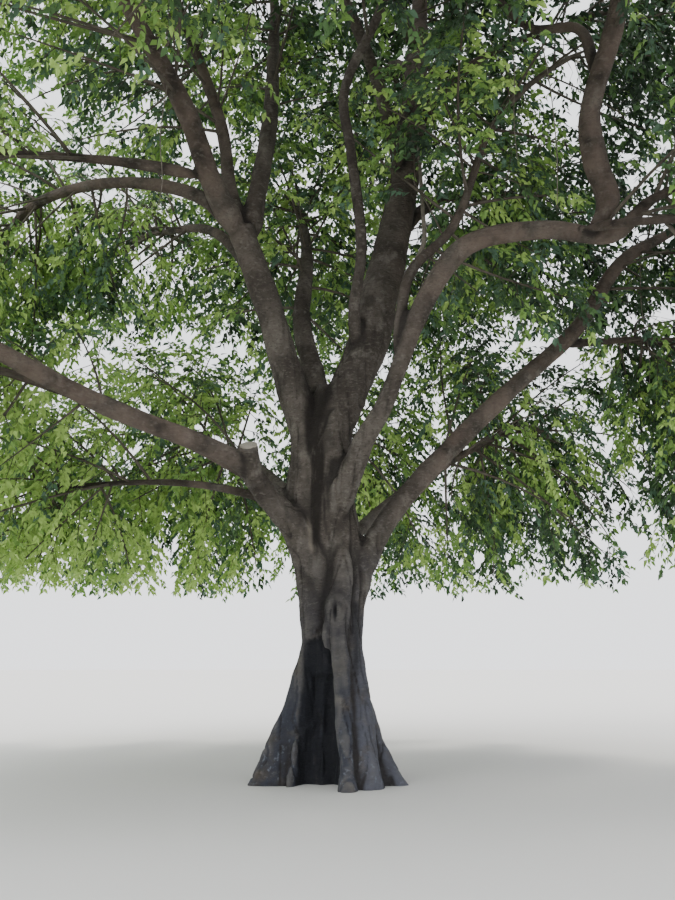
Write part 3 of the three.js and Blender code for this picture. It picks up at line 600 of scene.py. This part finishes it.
# Low down the bark turns darker and bluer; on its right side there it is lighter, painted light where the
# light falls
LOW_BARK, LOW_RIGHT_PAINTED_LIGHT = (0.034, 0.038, 0.052), (0.105, 0.108, 0.132)
LICHEN = (0.17, 0.19, 0.23)
# Painted shade in the bark's hollows and creases, and painted light on its ridges
HOLLOW_PAINTED_SHADE, RIDGE_PAINTED_LIGHT = (0.02, 0.017, 0.015), (0.17, 0.16, 0.142)
# Painted shade in the bay low down, and the streak's stain higher up, which turns into painted shade in the
# crotch
BAY_PAINTED_SHADE, STREAK_STAIN_AND_SHADE = (0.013, 0.014, 0.018), (0.014, 0.011, 0.009)
# Pale colour of the painted highlight along a ridge's edge
RIDGE_HIGHLIGHT_BARK, RIDGE_HIGHLIGHT_STRENGTH = (0.22, 0.19, 0.155), 0.75

bark = NodeTree("grey_fig_bark")
across, _, height = bark.add("SeparateXYZ", Vector=bark.place).outputs
colour = bark.mix(bark.patches(scale=1.3, start=0.35, full=0.65), DULL_BARK, FRESH_BARK)
for mottle, *pattern in MOTTLES:
    colour = bark.mix(bark.patches(*pattern), colour, mottle)
on_boughs = bark.times(bark.ramp(bark.maths("ABSOLUTE", across), start=0.8, full=1.8),
                       bark.patches(scale=2.6, start=0.36, full=0.6, most=0.6, detail=6))
low_down = bark.times(bark.ramp(height, start=3.0, full=0.8),
                      bark.patches(scale=3.5, start=0.28, full=0.5, most=0.95, detail=5))
at_ground = bark.times(bark.ramp(height, start=0.9, full=0.2),
                       bark.patches(scale=17, start=0.58, full=0.66, most=0.6, detail=5))
# Stain and painted shade: the bay's painted shade low down, the streak's stain and the crotch's painted
# shade higher up
stained_and_shaded = bark.times(bark.mark("stain_and_shade"),
                     bark.patches(scale=12, start=0.1, full=0.45, most=0.95, stretch=(1, 1, 0.3)))
stain_and_shade_colour = bark.mix(bark.ramp(height, start=1.9, full=2.7), BAY_PAINTED_SHADE, STREAK_STAIN_AND_SHADE)
coats = (
    (on_boughs, WARM_BARK),
    (low_down, LOW_BARK),
    # painted light on the lower trunk's right side
    (bark.times(low_down, bark.ramp(across, start=0.25, full=0.5, most=0.8)), LOW_RIGHT_PAINTED_LIGHT),
    (at_ground, LICHEN),
    # painted shade in hollows, then painted light on ridges
    (bark.ramp(bark.mark("hollow"), start=0.001, full=0.02, most=0.85), HOLLOW_PAINTED_SHADE),
    (bark.ramp(bark.mark("hollow"), start=-0.004, full=-0.016, most=0.35), RIDGE_PAINTED_LIGHT),
    # stain and painted shade
    (stained_and_shaded, stain_and_shade_colour),
    # painted highlight along a ridge's edge
    (bark.times(bark.mark("ridge_highlight"), RIDGE_HIGHLIGHT_STRENGTH), RIDGE_HIGHLIGHT_BARK),
)
for share, coat in coats:
    colour = bark.mix(share, colour, coat)
bark.put(bark.shader, "Base Color", colour)
bark.put(bark.shader, "Roughness", bark.ramp(bark.pattern(7), start=0.2, full=0.8, most=0.95, least=0.78))
bark.shader.inputs["Specular IOR Level"].default_value = 0.3
SWIRL_RATE = 17.0
SWIRL_SHARE, WRINKLE_SHARE, GRAIN_SHARE = 0.12, 0.6, 0.35
swirl = bark.times(bark.maths("SINE", bark.times(bark.mark("knot"), SWIRL_RATE)),
                   bark.ramp(bark.mark("knot"), start=1.5, full=0.7))
wrinkles = bark.pattern(15, stretch=(1, 1, 3.2), detail=6)
grain = bark.pattern(55, detail=5, roughness=0.7)
surface = bark.maths("ADD", bark.times(wrinkles, WRINKLE_SHARE), bark.times(grain, GRAIN_SHARE))
surface = bark.maths("ADD", surface, bark.times(swirl, SWIRL_SHARE))
bump = bark.add("Bump", Strength=1.0, Distance=0.05, Height=surface)
bark.put(bark.shader, "Normal", bump.outputs[0])

# The wood is one body, so it's parted by level cuts, each closed flat, into pieces of a handy size
WOOD_CUTS = {
    "trunk_bark": (0, 4.7),
    "fork_bark": (4.7, 6.9),
    "limb_bark": (6.9, 8.9),
    "high_limb_bark": (8.9, 20),
}


def wood_between(low, high):
    """What lies between two heights of the fused wood, with each cut closed flat."""
    bm = bmesh.new()
    bm.from_mesh(wood)
    for face in bm.faces:
        face.smooth = True
    for level, way in ((low, -1), (high, 1)):
        whole = bm.verts[:] + bm.edges[:] + bm.faces[:]
        cut = bmesh.ops.bisect_plane(bm, geom=whole, plane_co=(0, 0, level), plane_no=(0, 0, way),
                                     clear_outer=True)
        edges = [g for g in cut["geom_cut"] if isinstance(g, bmesh.types.BMEdge)]
        for face in bmesh.ops.holes_fill(bm, edges=edges)["faces"]:
            face.smooth = False
    return bm


for name, (low_level, high_level) in WOOD_CUTS.items():
    piece = new_object(name, mesh_from(wood_between(low_level, high_level), name), bark.material)
    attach(piece, "root")
    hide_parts("trunk", *LIMBS)
bpy.data.meshes.remove(wood)

# Sawn face: the flat pale end of the stub on the left low bough's elbow, where a limb was cut off.
# Bare wood, greyed by weather, with growth rings and a rolled rim of bark round it.
SAWN_RADIUS, SAWN_THICKNESS, SAWN_EDGE = 0.113, 0.036, 0.006
SAWN_RING_RATE = 420.0
sawn_at = Vector(STUB[-1][:3])
sawn_way = (sawn_at - Vector(STUB[-2][:3])).normalized()
sawn_bm = bmesh.new()
bmesh.ops.create_cone(sawn_bm, cap_ends=True, segments=40, radius1=SAWN_RADIUS, radius2=SAWN_RADIUS,
                      depth=SAWN_THICKNESS)
rims = [e for e in sawn_bm.edges if abs(e.verts[0].co.z - e.verts[1].co.z) < SAWN_THICKNESS / 2]
bmesh.ops.bevel(sawn_bm, geom=rims, offset=SAWN_EDGE, segments=3, profile=0.5, affect="EDGES",
                material=-1)
turn = Vector((0, 0, 1)).rotation_difference(sawn_way)
for v in sawn_bm.verts:
    v.co = turn @ v.co + sawn_at + sawn_way * SAWN_EDGE
grey_wood = NodeTree("weathered_wood")
from_heart = grey_wood.add("VectorMath", {"operation": "DISTANCE"})
grey_wood.put(from_heart, "0", grey_wood.place)
from_heart.inputs[1].default_value = sawn_at
rings = grey_wood.maths("SINE", grey_wood.times(from_heart.outputs["Value"], SAWN_RING_RATE))
ring_wood, pale_wood = (0.22, 0.2, 0.165), (0.4, 0.37, 0.31)
colour = grey_wood.mix(grey_wood.ramp(rings, start=-1, full=1), ring_wood, pale_wood)
grey_wood.put(grey_wood.shader, "Base Color", colour)
grey_wood.shader.inputs["Roughness"].default_value = 0.85
sawn_face = new_object("sawn_face", mesh_from(sawn_bm, "sawn_face"), grey_wood.material)
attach(sawn_face, "root")

# Branches: each bough ends in a stem that leans outwards and droops, and branches leave it and the bough's
# outer part in three ranks, one to each side below and one above. They stay in the crown's dome, clear of
# the limbs, and in the space nearest their own bough's end. Their bark is grey, as on the limbs.
CROWN_RADIUS = 8.45
TREE_HEIGHT = 15.45
WIDEST_HEIGHT = 5.5
SKIRT_HEIGHT = 2.62
CROWN_LOBES = ((3, 1), (5, 2))
LOBE_DEPTH = 0.05
CROWN_FULLNESS = 0.42
HOLLOW_RADIUS, HOLLOW_HEIGHT = 4.7, 7.1
# The clear wedge below the eye's lines to the crown in front of the trunk: its slope at each side
WEDGE_SIDES = (-0.36, -0.27, -0.2, 0.0, 0.04, 0.2, 0.24, 0.34, 0.37)
WEDGE_SLOPES = (0.57, 0.64, 0.7, 0.7, 0.57, 0.57, 0.72, 0.72, 0.5)
WEDGE_HALF_WIDTH, WEDGE_BACK = 0.42, -0.35
NEAR_WEDGE, NEAR_SLOPE = 8.4, 0.8
LIMB_CLEARANCE = 0.06
CELL = 0.12
GRID_LOW, GRID_SIZE = np.array([-10.0, -10.0, -0.5]), (170, 170, 150)

wood_cells = np.zeros(GRID_SIZE, bool)
for points, ways, radii in limb_lines.values():
    for point, radius in zip(points, radii):
        first = ((point - radius - LIMB_CLEARANCE - GRID_LOW) / CELL).astype(int)
        last = ((point + radius + LIMB_CLEARANCE - GRID_LOW) / CELL).astype(int) + 1
        wood_cells[first[0]:last[0], first[1]:last[1], first[2]:last[2]] = True


def inside_crown(points):
    x, y, z = np.moveaxis(points, -1, 0)
    out = np.hypot(x, y)
    azimuth = np.arctan2(y, x)
    above = np.clip((z - WIDEST_HEIGHT) / (TREE_HEIGHT - WIDEST_HEIGHT), 0, 1)
    lobes = sum(np.sin(count * azimuth + turn) for count, turn in CROWN_LOBES)
    reach = CROWN_RADIUS * (1 + LOBE_DEPTH * lobes) * (1 - above ** 2) ** CROWN_FULLNESS
    ahead = y - EYE[1]
    aside = (x - EYE[0]) / np.maximum(ahead, 0.01)
    slope = np.interp(aside, WEDGE_SIDES, WEDGE_SLOPES)
    slope = np.maximum(slope, np.interp(ahead, (NEAR_WEDGE, NEAR_WEDGE + 1), (NEAR_SLOPE, 0)))
    in_front = (ahead > 0) & (y < WEDGE_BACK) & (np.abs(aside) < WEDGE_HALF_WIDTH)
    lowest = np.where(in_front, np.maximum(SKIRT_HEIGHT, EYE[2] + slope * ahead), SKIRT_HEIGHT)
    return (out < reach) & (z > lowest) & (np.hypot(out / HOLLOW_RADIUS, z / HOLLOW_HEIGHT) > 1)


def clear_of_limbs(points):
    cells = ((points - GRID_LOW) / CELL).astype(int)
    cells = np.clip(cells, 0, np.array(GRID_SIZE) - 1)
    return ~wood_cells[cells[..., 0], cells[..., 1], cells[..., 2]]


MASS_REACH = 1.7
bough_ends = {name: line for name, line in limb_lines.items() if name != "left_main_stem"}
tips, tip_ways, tip_radii = (np.array([line[k][-1] for line in bough_ends.values()]) for k in range(3))
outward = unit(tips * [1, 1, 0])
middles = tips + unit(tip_ways + outward) * MASS_REACH
DOWN = np.array([0.0, 0.0, -1.0])
ASIDE_HINT, HINT_SHARE = [0.3, 0.9, 0.1], 0.02


def space_of(points):
    """The bough whose space each point lies in."""
    apart = [np.sum((points - middle) ** 2, axis=-1) for middle in middles]
    return np.argmin(apart, axis=0)


def fits(points, space, from_station=1):
    """Whether shoots stay in the crown and in their own bough's space, clear of every limb."""
    points = points[:, from_station:]
    in_own_space = space_of(points) == space[:, None]
    return np.all(inside_crown(points) & clear_of_limbs(points) & in_own_space, axis=1)


def grow(roots, headings, lengths, bends, steps):
    """Shoots that start in their own ways and bend a little more at each step."""
    headings = unit(headings)
    points, ways = [roots], [headings]
    for _ in range(steps):
        headings = unit(headings + bends / steps)
        points.append(points[-1] + headings * (lengths / steps)[:, None])
        ways.append(headings)
    return np.stack(points, axis=1), np.stack(ways, axis=1)


def grow_to_fit(roots, headings, lengths, shrinks, bends, steps, spaces):
    """Shoots as long as they fit, their lengths shrunk if need be, and which of them fit at all."""
    points, ways = grow(roots, headings, lengths * min(shrinks), bends, steps)
    fitted = np.zeros(len(roots), bool)
    for shrink in sorted(shrinks):
        longer, longer_ways = grow(roots, headings, lengths * shrink, bends, steps)
        good = fits(longer, spaces)
        points[good] = longer[good]
        ways[good] = longer_ways[good]
        fitted |= good
    return points, ways, fitted


def across_and_below(ways):
    """The two ways across each shoot: level, and as near down as can be."""
    across = unit(np.cross(ways, DOWN) + HINT_SHARE * np.cross(ways, ASIDE_HINT))
    return across, np.cross(across, ways)


def place_on(points, ways, radii, share):
    """The point, way along and radius at a share of the length of each shoot."""
    place = share * (points.shape[1] - 1)
    low = np.minimum(place.astype(int), points.shape[1] - 2)
    part = place - low
    rows = np.arange(len(points))
    point = points[rows, low] + (points[rows, low + 1] - points[rows, low]) * part[:, None]
    radius = radii[rows, low] + (radii[rows, low + 1] - radii[rows, low]) * part
    return point, ways[rows, low + 1], radius


def tapered(root_radius, end_share, steps):
    return np.asarray(root_radius)[..., None] * np.linspace(1, end_share, steps + 1)


STEM_LENGTHS = (2.4, 1.9, 1.5, 1.25, 1.0, 0.7)
STEM_STEPS, STEM_END = 6, 0.6
STEM_LEAN = 0.8
STEM_DROOP, HIGH_STEM_DROOP = 0.8, 0.35
WEEPING_HEIGHT = 8.5
rng = np.random.default_rng(seed=11)
weeping = middles[:, 2] < WEEPING_HEIGHT
stem_bends = STEM_LEAN * outward + np.where(weeping, STEM_DROOP, HIGH_STEM_DROOP)[:, None] * DOWN
spaces = np.arange(len(tips))
points, ways, _ = grow_to_fit(tips, tip_ways, np.ones(len(tips)), STEM_LENGTHS, stem_bends,
                              STEM_STEPS, spaces)
stems = (points, ways, tapered(tip_radii, STEM_END, STEM_STEPS))

BRANCH_TRIES = 150
BRANCHES_PER_BOUGH = 30
BRANCH_LENGTHS = (2.9, 2.4, 1.9, 1.4, 1.0)
LENGTH_SCATTER = (0.9, 1.1)
BRANCH_STEPS, BRANCH_END = 6, 0.35
BRANCH_APART, COMPARED = 0.66, [3, 6]
BRANCH_DROOP, HIGH_DROOP, BRANCH_LEAN, BEND_SCATTER = 0.4, 0.3, 0.25, 0.2
# A branch's radius is a share of its bough's, or grows with its length from the slimmest if that is less
BRANCH_SHARE, RADIUS_GROWTH, SLIMMEST = 0.55, 0.007, 0.005
BARE_SHARE, CROWDING = 0.42, 0.8
RANK_ANGLES = np.radians([60, -60, 180])
GOLDEN_SHARE = (math.sqrt(5) - 1) / 2


def side_headings(ways, angles, scatter, onward):
    """Ways out of shoots: at an angle round them from straight down, scattered, and partly onward."""
    angles = angles + rng.normal(0, scatter, len(angles))
    onward = rng.uniform(*onward, len(angles))
    across, below = across_and_below(ways)
    return ways * onward[:, None] + across * np.sin(angles)[:, None] + below * np.cos(angles)[:, None]


branches = []
tries = np.arange(BRANCH_TRIES)
for space, line in enumerate(bough_ends.values()):
    outer = slice(int(BARE_SHARE * len(line[0])), None)
    way = [np.concatenate([limb[outer], stem[space, 1:]]) for limb, stem in zip(line, stems)]
    along = ((tries + 1) * GOLDEN_SHARE % 1) ** CROWDING
    roots, ways, radii = place_on(*(np.repeat(part[None], BRANCH_TRIES, 0) for part in way), along)
    headings = side_headings(ways, RANK_ANGLES[tries % 3], scatter=0.45, onward=(0.2, 1.0))
    bend = DOWN * (BRANCH_DROOP if weeping[space] else HIGH_DROOP) + BRANCH_LEAN * outward[space]
    taken = []
    for length in BRANCH_LENGTHS:
        lengths = length * rng.uniform(*LENGTH_SCATTER, BRANCH_TRIES)
        bends = bend + rng.normal(0, BEND_SCATTER, (BRANCH_TRIES, 3))
        points, ways = grow(roots, headings, lengths, bends, BRANCH_STEPS)
        for i in np.flatnonzero(fits(points, np.full(BRANCH_TRIES, space), from_station=2)):
            places = points[i, COMPARED]
            near = any(np.linalg.norm(a - b) < BRANCH_APART for t in taken for a, b in zip(t, places))
            if not near and len(taken) < BRANCHES_PER_BOUGH:
                root_radius = min(BRANCH_SHARE * radii[i], RADIUS_GROWTH * length + SLIMMEST)
                branches.append((points[i], ways[i], tapered(root_radius, BRANCH_END, BRANCH_STEPS), space))
                taken.append(places)
*branch_shapes, branch_spaces = (np.array(part) for part in zip(*branches))


def tubes(points, ways, radii, sides):
    """Closed tubes round shoots, each ending in a point: their vertices and their triangles."""
    count, stations = points.shape[:2]
    belows = [across_and_below(ways[:, 0])[1]]
    for k in range(1, stations):
        along = ways[:, k]
        belows.append(unit(belows[-1] - np.sum(belows[-1] * along, axis=1, keepdims=True) * along))
    below = np.stack(belows, axis=1)
    across = np.cross(below, ways)
    turn = 2 * math.pi * np.arange(sides) / sides
    arm = across[:, :, None] * np.cos(turn)[:, None] + below[:, :, None] * np.sin(turn)[:, None]
    rings = points[:, :-1, None] + radii[:, :-1, None, None] * arm[:, :-1]
    vertices = np.concatenate([rings.reshape(count, -1, 3), points[:, -1:]], axis=1)
    faces = []
    for k in range(stations - 1):
        for side in range(sides):
            a, b = k * sides + side, k * sides + (side + 1) % sides
            if k < stations - 2:
                faces += [(a, b, b + sides), (a, b + sides, a + sides)]
            else:
                faces.append((a, b, (stations - 1) * sides))
    faces += [(0, side + 1, side) for side in range(1, sides - 1)]
    return vertices, np.array(faces)


def joined_mesh(name, vertices, faces):
    """One mesh of many like pieces: vertices are (piece, vertex, axis), and faces are those of one piece."""
    count, each = vertices.shape[:2]
    all_faces = (faces[None] + (np.arange(count) * each)[:, None, None]).reshape(-1, faces.shape[1])
    mesh = bpy.data.meshes.new(name)
    mesh.vertices.add(count * each)
    mesh.vertices.foreach_set("co", vertices.astype(np.float32).ravel())
    mesh.loops.add(all_faces.size)
    mesh.loops.foreach_set("vertex_index", all_faces.astype(np.int32).ravel())
    mesh.polygons.add(len(all_faces))
    starts = np.arange(len(all_faces), dtype=np.int32) * faces.shape[1]
    mesh.polygons.foreach_set("loop_start", starts)
    mesh.polygons.foreach_set("use_smooth", [True] * len(all_faces))
    mesh.update(calc_edges=True)
    return mesh


foliage_nodes = [f"{name}_foliage" for name in bough_ends]


def add_foliage_piece(name, vertices, faces, material, slot):
    mesh = joined_mesh(name, vertices, faces)
    piece = new_object(name, mesh, material)
    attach(piece, "root")
    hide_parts(*foliage_nodes)


def add_shoots(name, shoots, sides, material):
    add_foliage_piece(name, *tubes(*shoots, sides), material, "bark")


def two_tone_bark(name, scale, dull, fresh, roughness, stretch=(1, 1, 1)):
    tree = NodeTree(name)
    patches = tree.patches(scale, start=0.35, full=0.65, stretch=stretch)
    tree.put(tree.shader, "Base Color", tree.mix(patches, dull, fresh))
    tree.shader.inputs["Roughness"].default_value = roughness
    return tree.material


young_bark = two_tone_bark("young_fig_bark", scale=6, dull=(0.06, 0.05, 0.038), fresh=(0.12, 0.103, 0.08),
                           roughness=0.85)
add_shoots("stems", stems, sides=8, material=young_bark)
add_shoots("branches", branch_shapes, sides=6, material=young_bark)

# Aerial roots: a few thin pale roots that grow down from high limbs, living wood with smooth pale bark.
# One has reached a bough and joined it; the others still hang free.
AERIAL_ROOTS = (
    [[1.4, 0.72, 9.6, 0.05], [1.4, 0.36, 8.7, 0.055], [1.4, 0.05, 7.8, 0.06], [1.37, -0.25, 7.2, 0.07],
     [1.17, -0.6, 6.65, 0.08]],
    [[2.86, -1.42, 9.75, 0.016], [2.95, -1.46, 8.9, 0.014], [3.0, -1.44, 7.9, 0.014],
     [2.97, -1.4, 7.05, 0.009]],
    [[2.5, -1.12, 10.3, 0.014], [2.56, -1.16, 9.4, 0.013], [2.52, -1.18, 8.5, 0.012],
     [2.55, -1.15, 7.9, 0.008]],
    [[5.0, 1.48, 7.8, 0.016], [4.97, 1.5, 6.9, 0.013], [5.02, 1.46, 6.1, 0.012], [4.99, 1.5, 5.5, 0.008]],
    [[-2.05, -1.6, 8.8, 0.014], [-2.1, -1.65, 8.0, 0.012], [-2.06, -1.6, 7.4, 0.01],
     [-2.1, -1.66, 6.9, 0.008]],
)
root_lines = []
for path in AERIAL_ROOTS:
    line = smooth_path(path, spacing=0.02)
    picked = np.linspace(0, len(line[0]) - 1, num=24).astype(int)
    root_lines.append([part[picked] for part in line])
pale_bark = two_tone_bark("pale_root_bark", scale=30, dull=(0.12, 0.105, 0.085), fresh=(0.22, 0.195, 0.16),
                          roughness=0.8, stretch=(1, 1, 0.4))
root_shapes = [np.stack(part) for part in zip(*root_lines)]
add_shoots("aerial_roots", root_shapes, sides=8, material=pale_bark)

# Twigs: slender weeping shoots leave the branches in the same three ranks, and short side twigs leave
# those to left and right. They're left out where the sky shows through the crown.
TWIG_SPACING = 0.172
TWIG_STEPS, TWIG_END = 3, 0.4
TWIG_LENGTHS, TWIG_SHRINKS = (0.8, 1.4), (1, 0.7, 0.45)
TWIG_DROOP, HIGH_TWIG_DROOP, DROOP_SCATTER = 1.5, 0.8, (0.5, 1.2)
TWIG_SHARE, TWIG_THICKEST = 0.6, 0.008
PLACE_SCATTER = (0.6, 1.0)
# Gaps for the sky: where the noise is above a level, which is lower in the high left of the crown
SKY_GAPS = [(1, 0.62), (0.4, 1.7)]
GAP_LEVEL, HIGH_LEFT_DROP = 0.3, 0.2
GAP_LEFT, GAP_HEIGHTS = (-1.0, -3.5), (6.0, 8.0)
SIDE_SPACING = 0.13
SIDE_LENGTHS, SHORTENING = (0.24, 0.42), 0.4
SIDE_DROOP, SIDE_SHARE, SIDE_END = 0.35, 0.5, 0.5


def side_places(points, ways, radii, spacing, bare_share):
    """Places along each shoot, at an even spacing: which shoot, its share of the length, and its rank."""
    lengths = np.sum(np.linalg.norm(np.diff(points, axis=1), axis=2), axis=1)
    counts = np.maximum((lengths * (1 - bare_share) / spacing).astype(int), 1)
    owners = np.repeat(np.arange(len(points)), counts)
    ranks = np.concatenate([np.arange(count) for count in counts])
    joints = ranks + rng.uniform(*PLACE_SCATTER, len(ranks))
    shares = bare_share + (1 - bare_share) * joints / counts[owners]
    place = place_on(points[owners], ways[owners], radii[owners], shares)
    return owners, shares, ranks, *place


carriers = [np.concatenate(pair) for pair in zip(branch_shapes, stems)]
owners, _, ranks, roots, ways, radii = side_places(*carriers, TWIG_SPACING, bare_share=0.12)
headings = side_headings(ways, RANK_ANGLES[ranks % 3], scatter=0.5, onward=(0.3, 1.1))
twig_spaces = np.concatenate([branch_spaces, spaces])[owners]
droop = np.where(weeping[twig_spaces], TWIG_DROOP, HIGH_TWIG_DROOP) * rng.uniform(*DROOP_SCATTER, len(ranks))
lengths = rng.uniform(*TWIG_LENGTHS, len(ranks))
points, ways, grown = grow_to_fit(roots, headings, lengths, TWIG_SHRINKS, DOWN * droop[:, None],
                                  TWIG_STEPS, twig_spaces)
twigs_at = points[:, 2]
high_left = smooth_step(*GAP_LEFT, twigs_at[:, 0]) * smooth_step(*GAP_HEIGHTS, twigs_at[:, 2])
grown &= noise_at(twigs_at, SKY_GAPS) < GAP_LEVEL - HIGH_LEFT_DROP * high_left
twig_radii = tapered(np.minimum(TWIG_SHARE * radii[grown], TWIG_THICKEST), TWIG_END, TWIG_STEPS)
twigs = (points[grown], ways[grown], twig_radii)
add_shoots("twigs", twigs, sides=3, material=young_bark)

_, shares, ranks, roots, ways, radii = side_places(*twigs, SIDE_SPACING, bare_share=0.05)
sideways = np.where(ranks % 2, 1, -1) * (math.pi / 2)
headings = side_headings(ways, sideways, scatter=0.6, onward=(0.6, 1.3))
lengths = rng.uniform(*SIDE_LENGTHS, len(ranks)) * (1 - SHORTENING * shares)
points, ways = grow(roots, headings, lengths, DOWN * SIDE_DROOP, 1)
good = inside_crown(points[:, 1]) & clear_of_limbs(points[:, 1])
side_twigs = (points[good], ways[good], tapered(SIDE_SHARE * radii[good], SIDE_END, 1))
add_shoots("side_twigs", side_twigs, sides=3, material=young_bark)

# Leaves: glossy pointed ovals, one at each joint of a twig, left and right in turn, each hanging from its
# base and folded a little along its middle rib. Sprays of them are tinted with painted light and shade, from
# the dark green of shaded sprays at the crown's outside to the yellow green of sunlit ones within it.
LEAF_SPACING = 0.038
TWIG_LEAF_SPACING = 0.09
LEAF_LENGTHS = (0.108, 0.145)
LEAF_WIDTH_SHARE = 0.55
LEAF_ONWARD, LEAF_ASIDE, LEAF_DROOP, LEAF_SCATTER = (0.5, 1.1), (0.6, 1.1), (0.1, 0.9), 0.25
FACE_UP, FACE_SCATTER = 0.75, 0.55
FOLD, SAG = 0.35, -0.12
# A leaf's six points from its base round: shares of its length, half width, fold and sag
LEAF_OUTLINE = ((0, 0, 0, 0), (0.3, 1, 1, 0), (0.68, 0.66, 0.7, 0.5), (1, 0, 0, 1), (0.68, -0.66, 0.7, 0.5),
                (0.3, -1, 1, 0))
# Young leaves are plainer: four of the points
YOUNG_POINTS = [0, 1, 3, 5]
YOUNG_SHARE = 0.7
YOUNG_SIZE = 0.96


def leaves_on(points, ways, radii, spacing, bare_share):
    """The six points of each leaf, from its base round its outline, and the shoot that it grows on."""
    owners, _, ranks, roots, along, _ = side_places(points, ways, radii, spacing, bare_share)
    across, _ = across_and_below(along)
    side = np.where(ranks % 2, 1.0, -1.0)[:, None]
    count = len(ranks)
    headings = along * rng.uniform(*LEAF_ONWARD, (count, 1))
    headings += across * side * rng.uniform(*LEAF_ASIDE, (count, 1))
    headings += DOWN * rng.uniform(*LEAF_DROOP, (count, 1))
    headings = unit(headings + rng.normal(0, LEAF_SCATTER, (count, 3)))
    face = unit(rng.normal(0, FACE_SCATTER, (count, 3)) - FACE_UP * DOWN)
    face = unit(face - np.sum(face * headings, axis=1, keepdims=True) * headings)
    aside = np.cross(headings, face)
    length = rng.uniform(*LEAF_LENGTHS, (count, 1))
    half = length * LEAF_WIDTH_SHARE / 2
    fold = face * half * FOLD
    sag = face * length * SAG
    outline = [roots + headings * length * on + aside * half * out + fold * folded + sag * sagged
               for on, out, folded, sagged in LEAF_OUTLINE]
    return owners, np.stack(outline, axis=1)


side_spray, vertices = leaves_on(*side_twigs, LEAF_SPACING, bare_share=0.1)
twig_spray, more_vertices = leaves_on(*twigs, TWIG_LEAF_SPACING, bare_share=0.1)
spray = np.concatenate([side_spray, len(side_twigs[0]) + twig_spray])
vertices = np.concatenate([vertices, more_vertices])
good = np.all(inside_crown(vertices[:, 3:4]) & clear_of_limbs(vertices[:, 3:4]), axis=1)
spray, vertices = spray[good], vertices[good]

# The tints, from the most shaded sprays to the most sunlit, and the share of sprays in each but the last.
# The light varies by soft noise and by a slope along each axis, and is less at the crown's outside.
TINTS = {
    "deep_green": (0.024, 0.048, 0.025),
    "dark_green": (0.046, 0.093, 0.04),
    "leaf_green": (0.096, 0.192, 0.066),
    "blue_green": (0.09, 0.172, 0.104),
    "yellow_green": (0.23, 0.4, 0.1),
    "bright_green": (0.43, 0.63, 0.17),
}
TINT_SHARES = (0.17, 0.18, 0.18, 0.12, 0.18)
LIGHT_PATTERNS = [(0.55, 0.5), (1.15, 2.1)]
LIGHT_SCATTER = 0.15
LIGHT_SLOPES = (-0.058, 0.006, -0.034)
LIGHT_HEIGHT = 7
OUTER_SHADE, SHADE_EDGE = 0.55, (0.7, 0.98)
spray_at = np.concatenate([side_twigs[0][:, 1], twigs[0][:, 2]])
x, y, z = spray_at.T
light = noise_at(spray_at, LIGHT_PATTERNS)
light += rng.normal(0, LIGHT_SCATTER, len(spray_at))
light += LIGHT_SLOPES[1] * y + LIGHT_SLOPES[0] * x + LIGHT_SLOPES[2] * (z - LIGHT_HEIGHT)
above_widest = np.maximum(z - WIDEST_HEIGHT, 0) / (TREE_HEIGHT - WIDEST_HEIGHT)
outside = np.hypot(np.hypot(x, y) / CROWN_RADIUS, above_widest)
light -= OUTER_SHADE * smooth_step(*SHADE_EDGE, outside)
order = np.argsort(np.argsort(light)) / len(light)
tint_of_leaf = np.digitize(order, np.cumsum(TINT_SHARES))[spray]
young = rng.random(len(vertices)) < YOUNG_SHARE
young_vertices = vertices[:, :1] + (vertices[:, YOUNG_POINTS] - vertices[:, :1]) * YOUNG_SIZE
LEAF_FACES = np.array([(0, 1, 2, 3), (0, 3, 4, 5)])
YOUNG_LEAF_FACES = np.array([(0, 1, 2), (0, 2, 3)])
# One leaf material per tint: lit and shaded copies of one green, as painted light and shade
for tint, (name, colour) in enumerate(TINTS.items()):
    leaf_material = plain_material(f"{name}_leaf", colour, roughness=0.5)
    leaf_material.node_tree.nodes["Principled BSDF"].inputs["Specular IOR Level"].default_value = 0.3
    tinted = tint_of_leaf == tint
    add_foliage_piece(f"{name}_leaves", vertices[tinted & ~young], LEAF_FACES, leaf_material, "foliage")
    add_foliage_piece(f"young_{name}_leaves", young_vertices[tinted & young], YOUNG_LEAF_FACES,
                      leaf_material, "foliage")
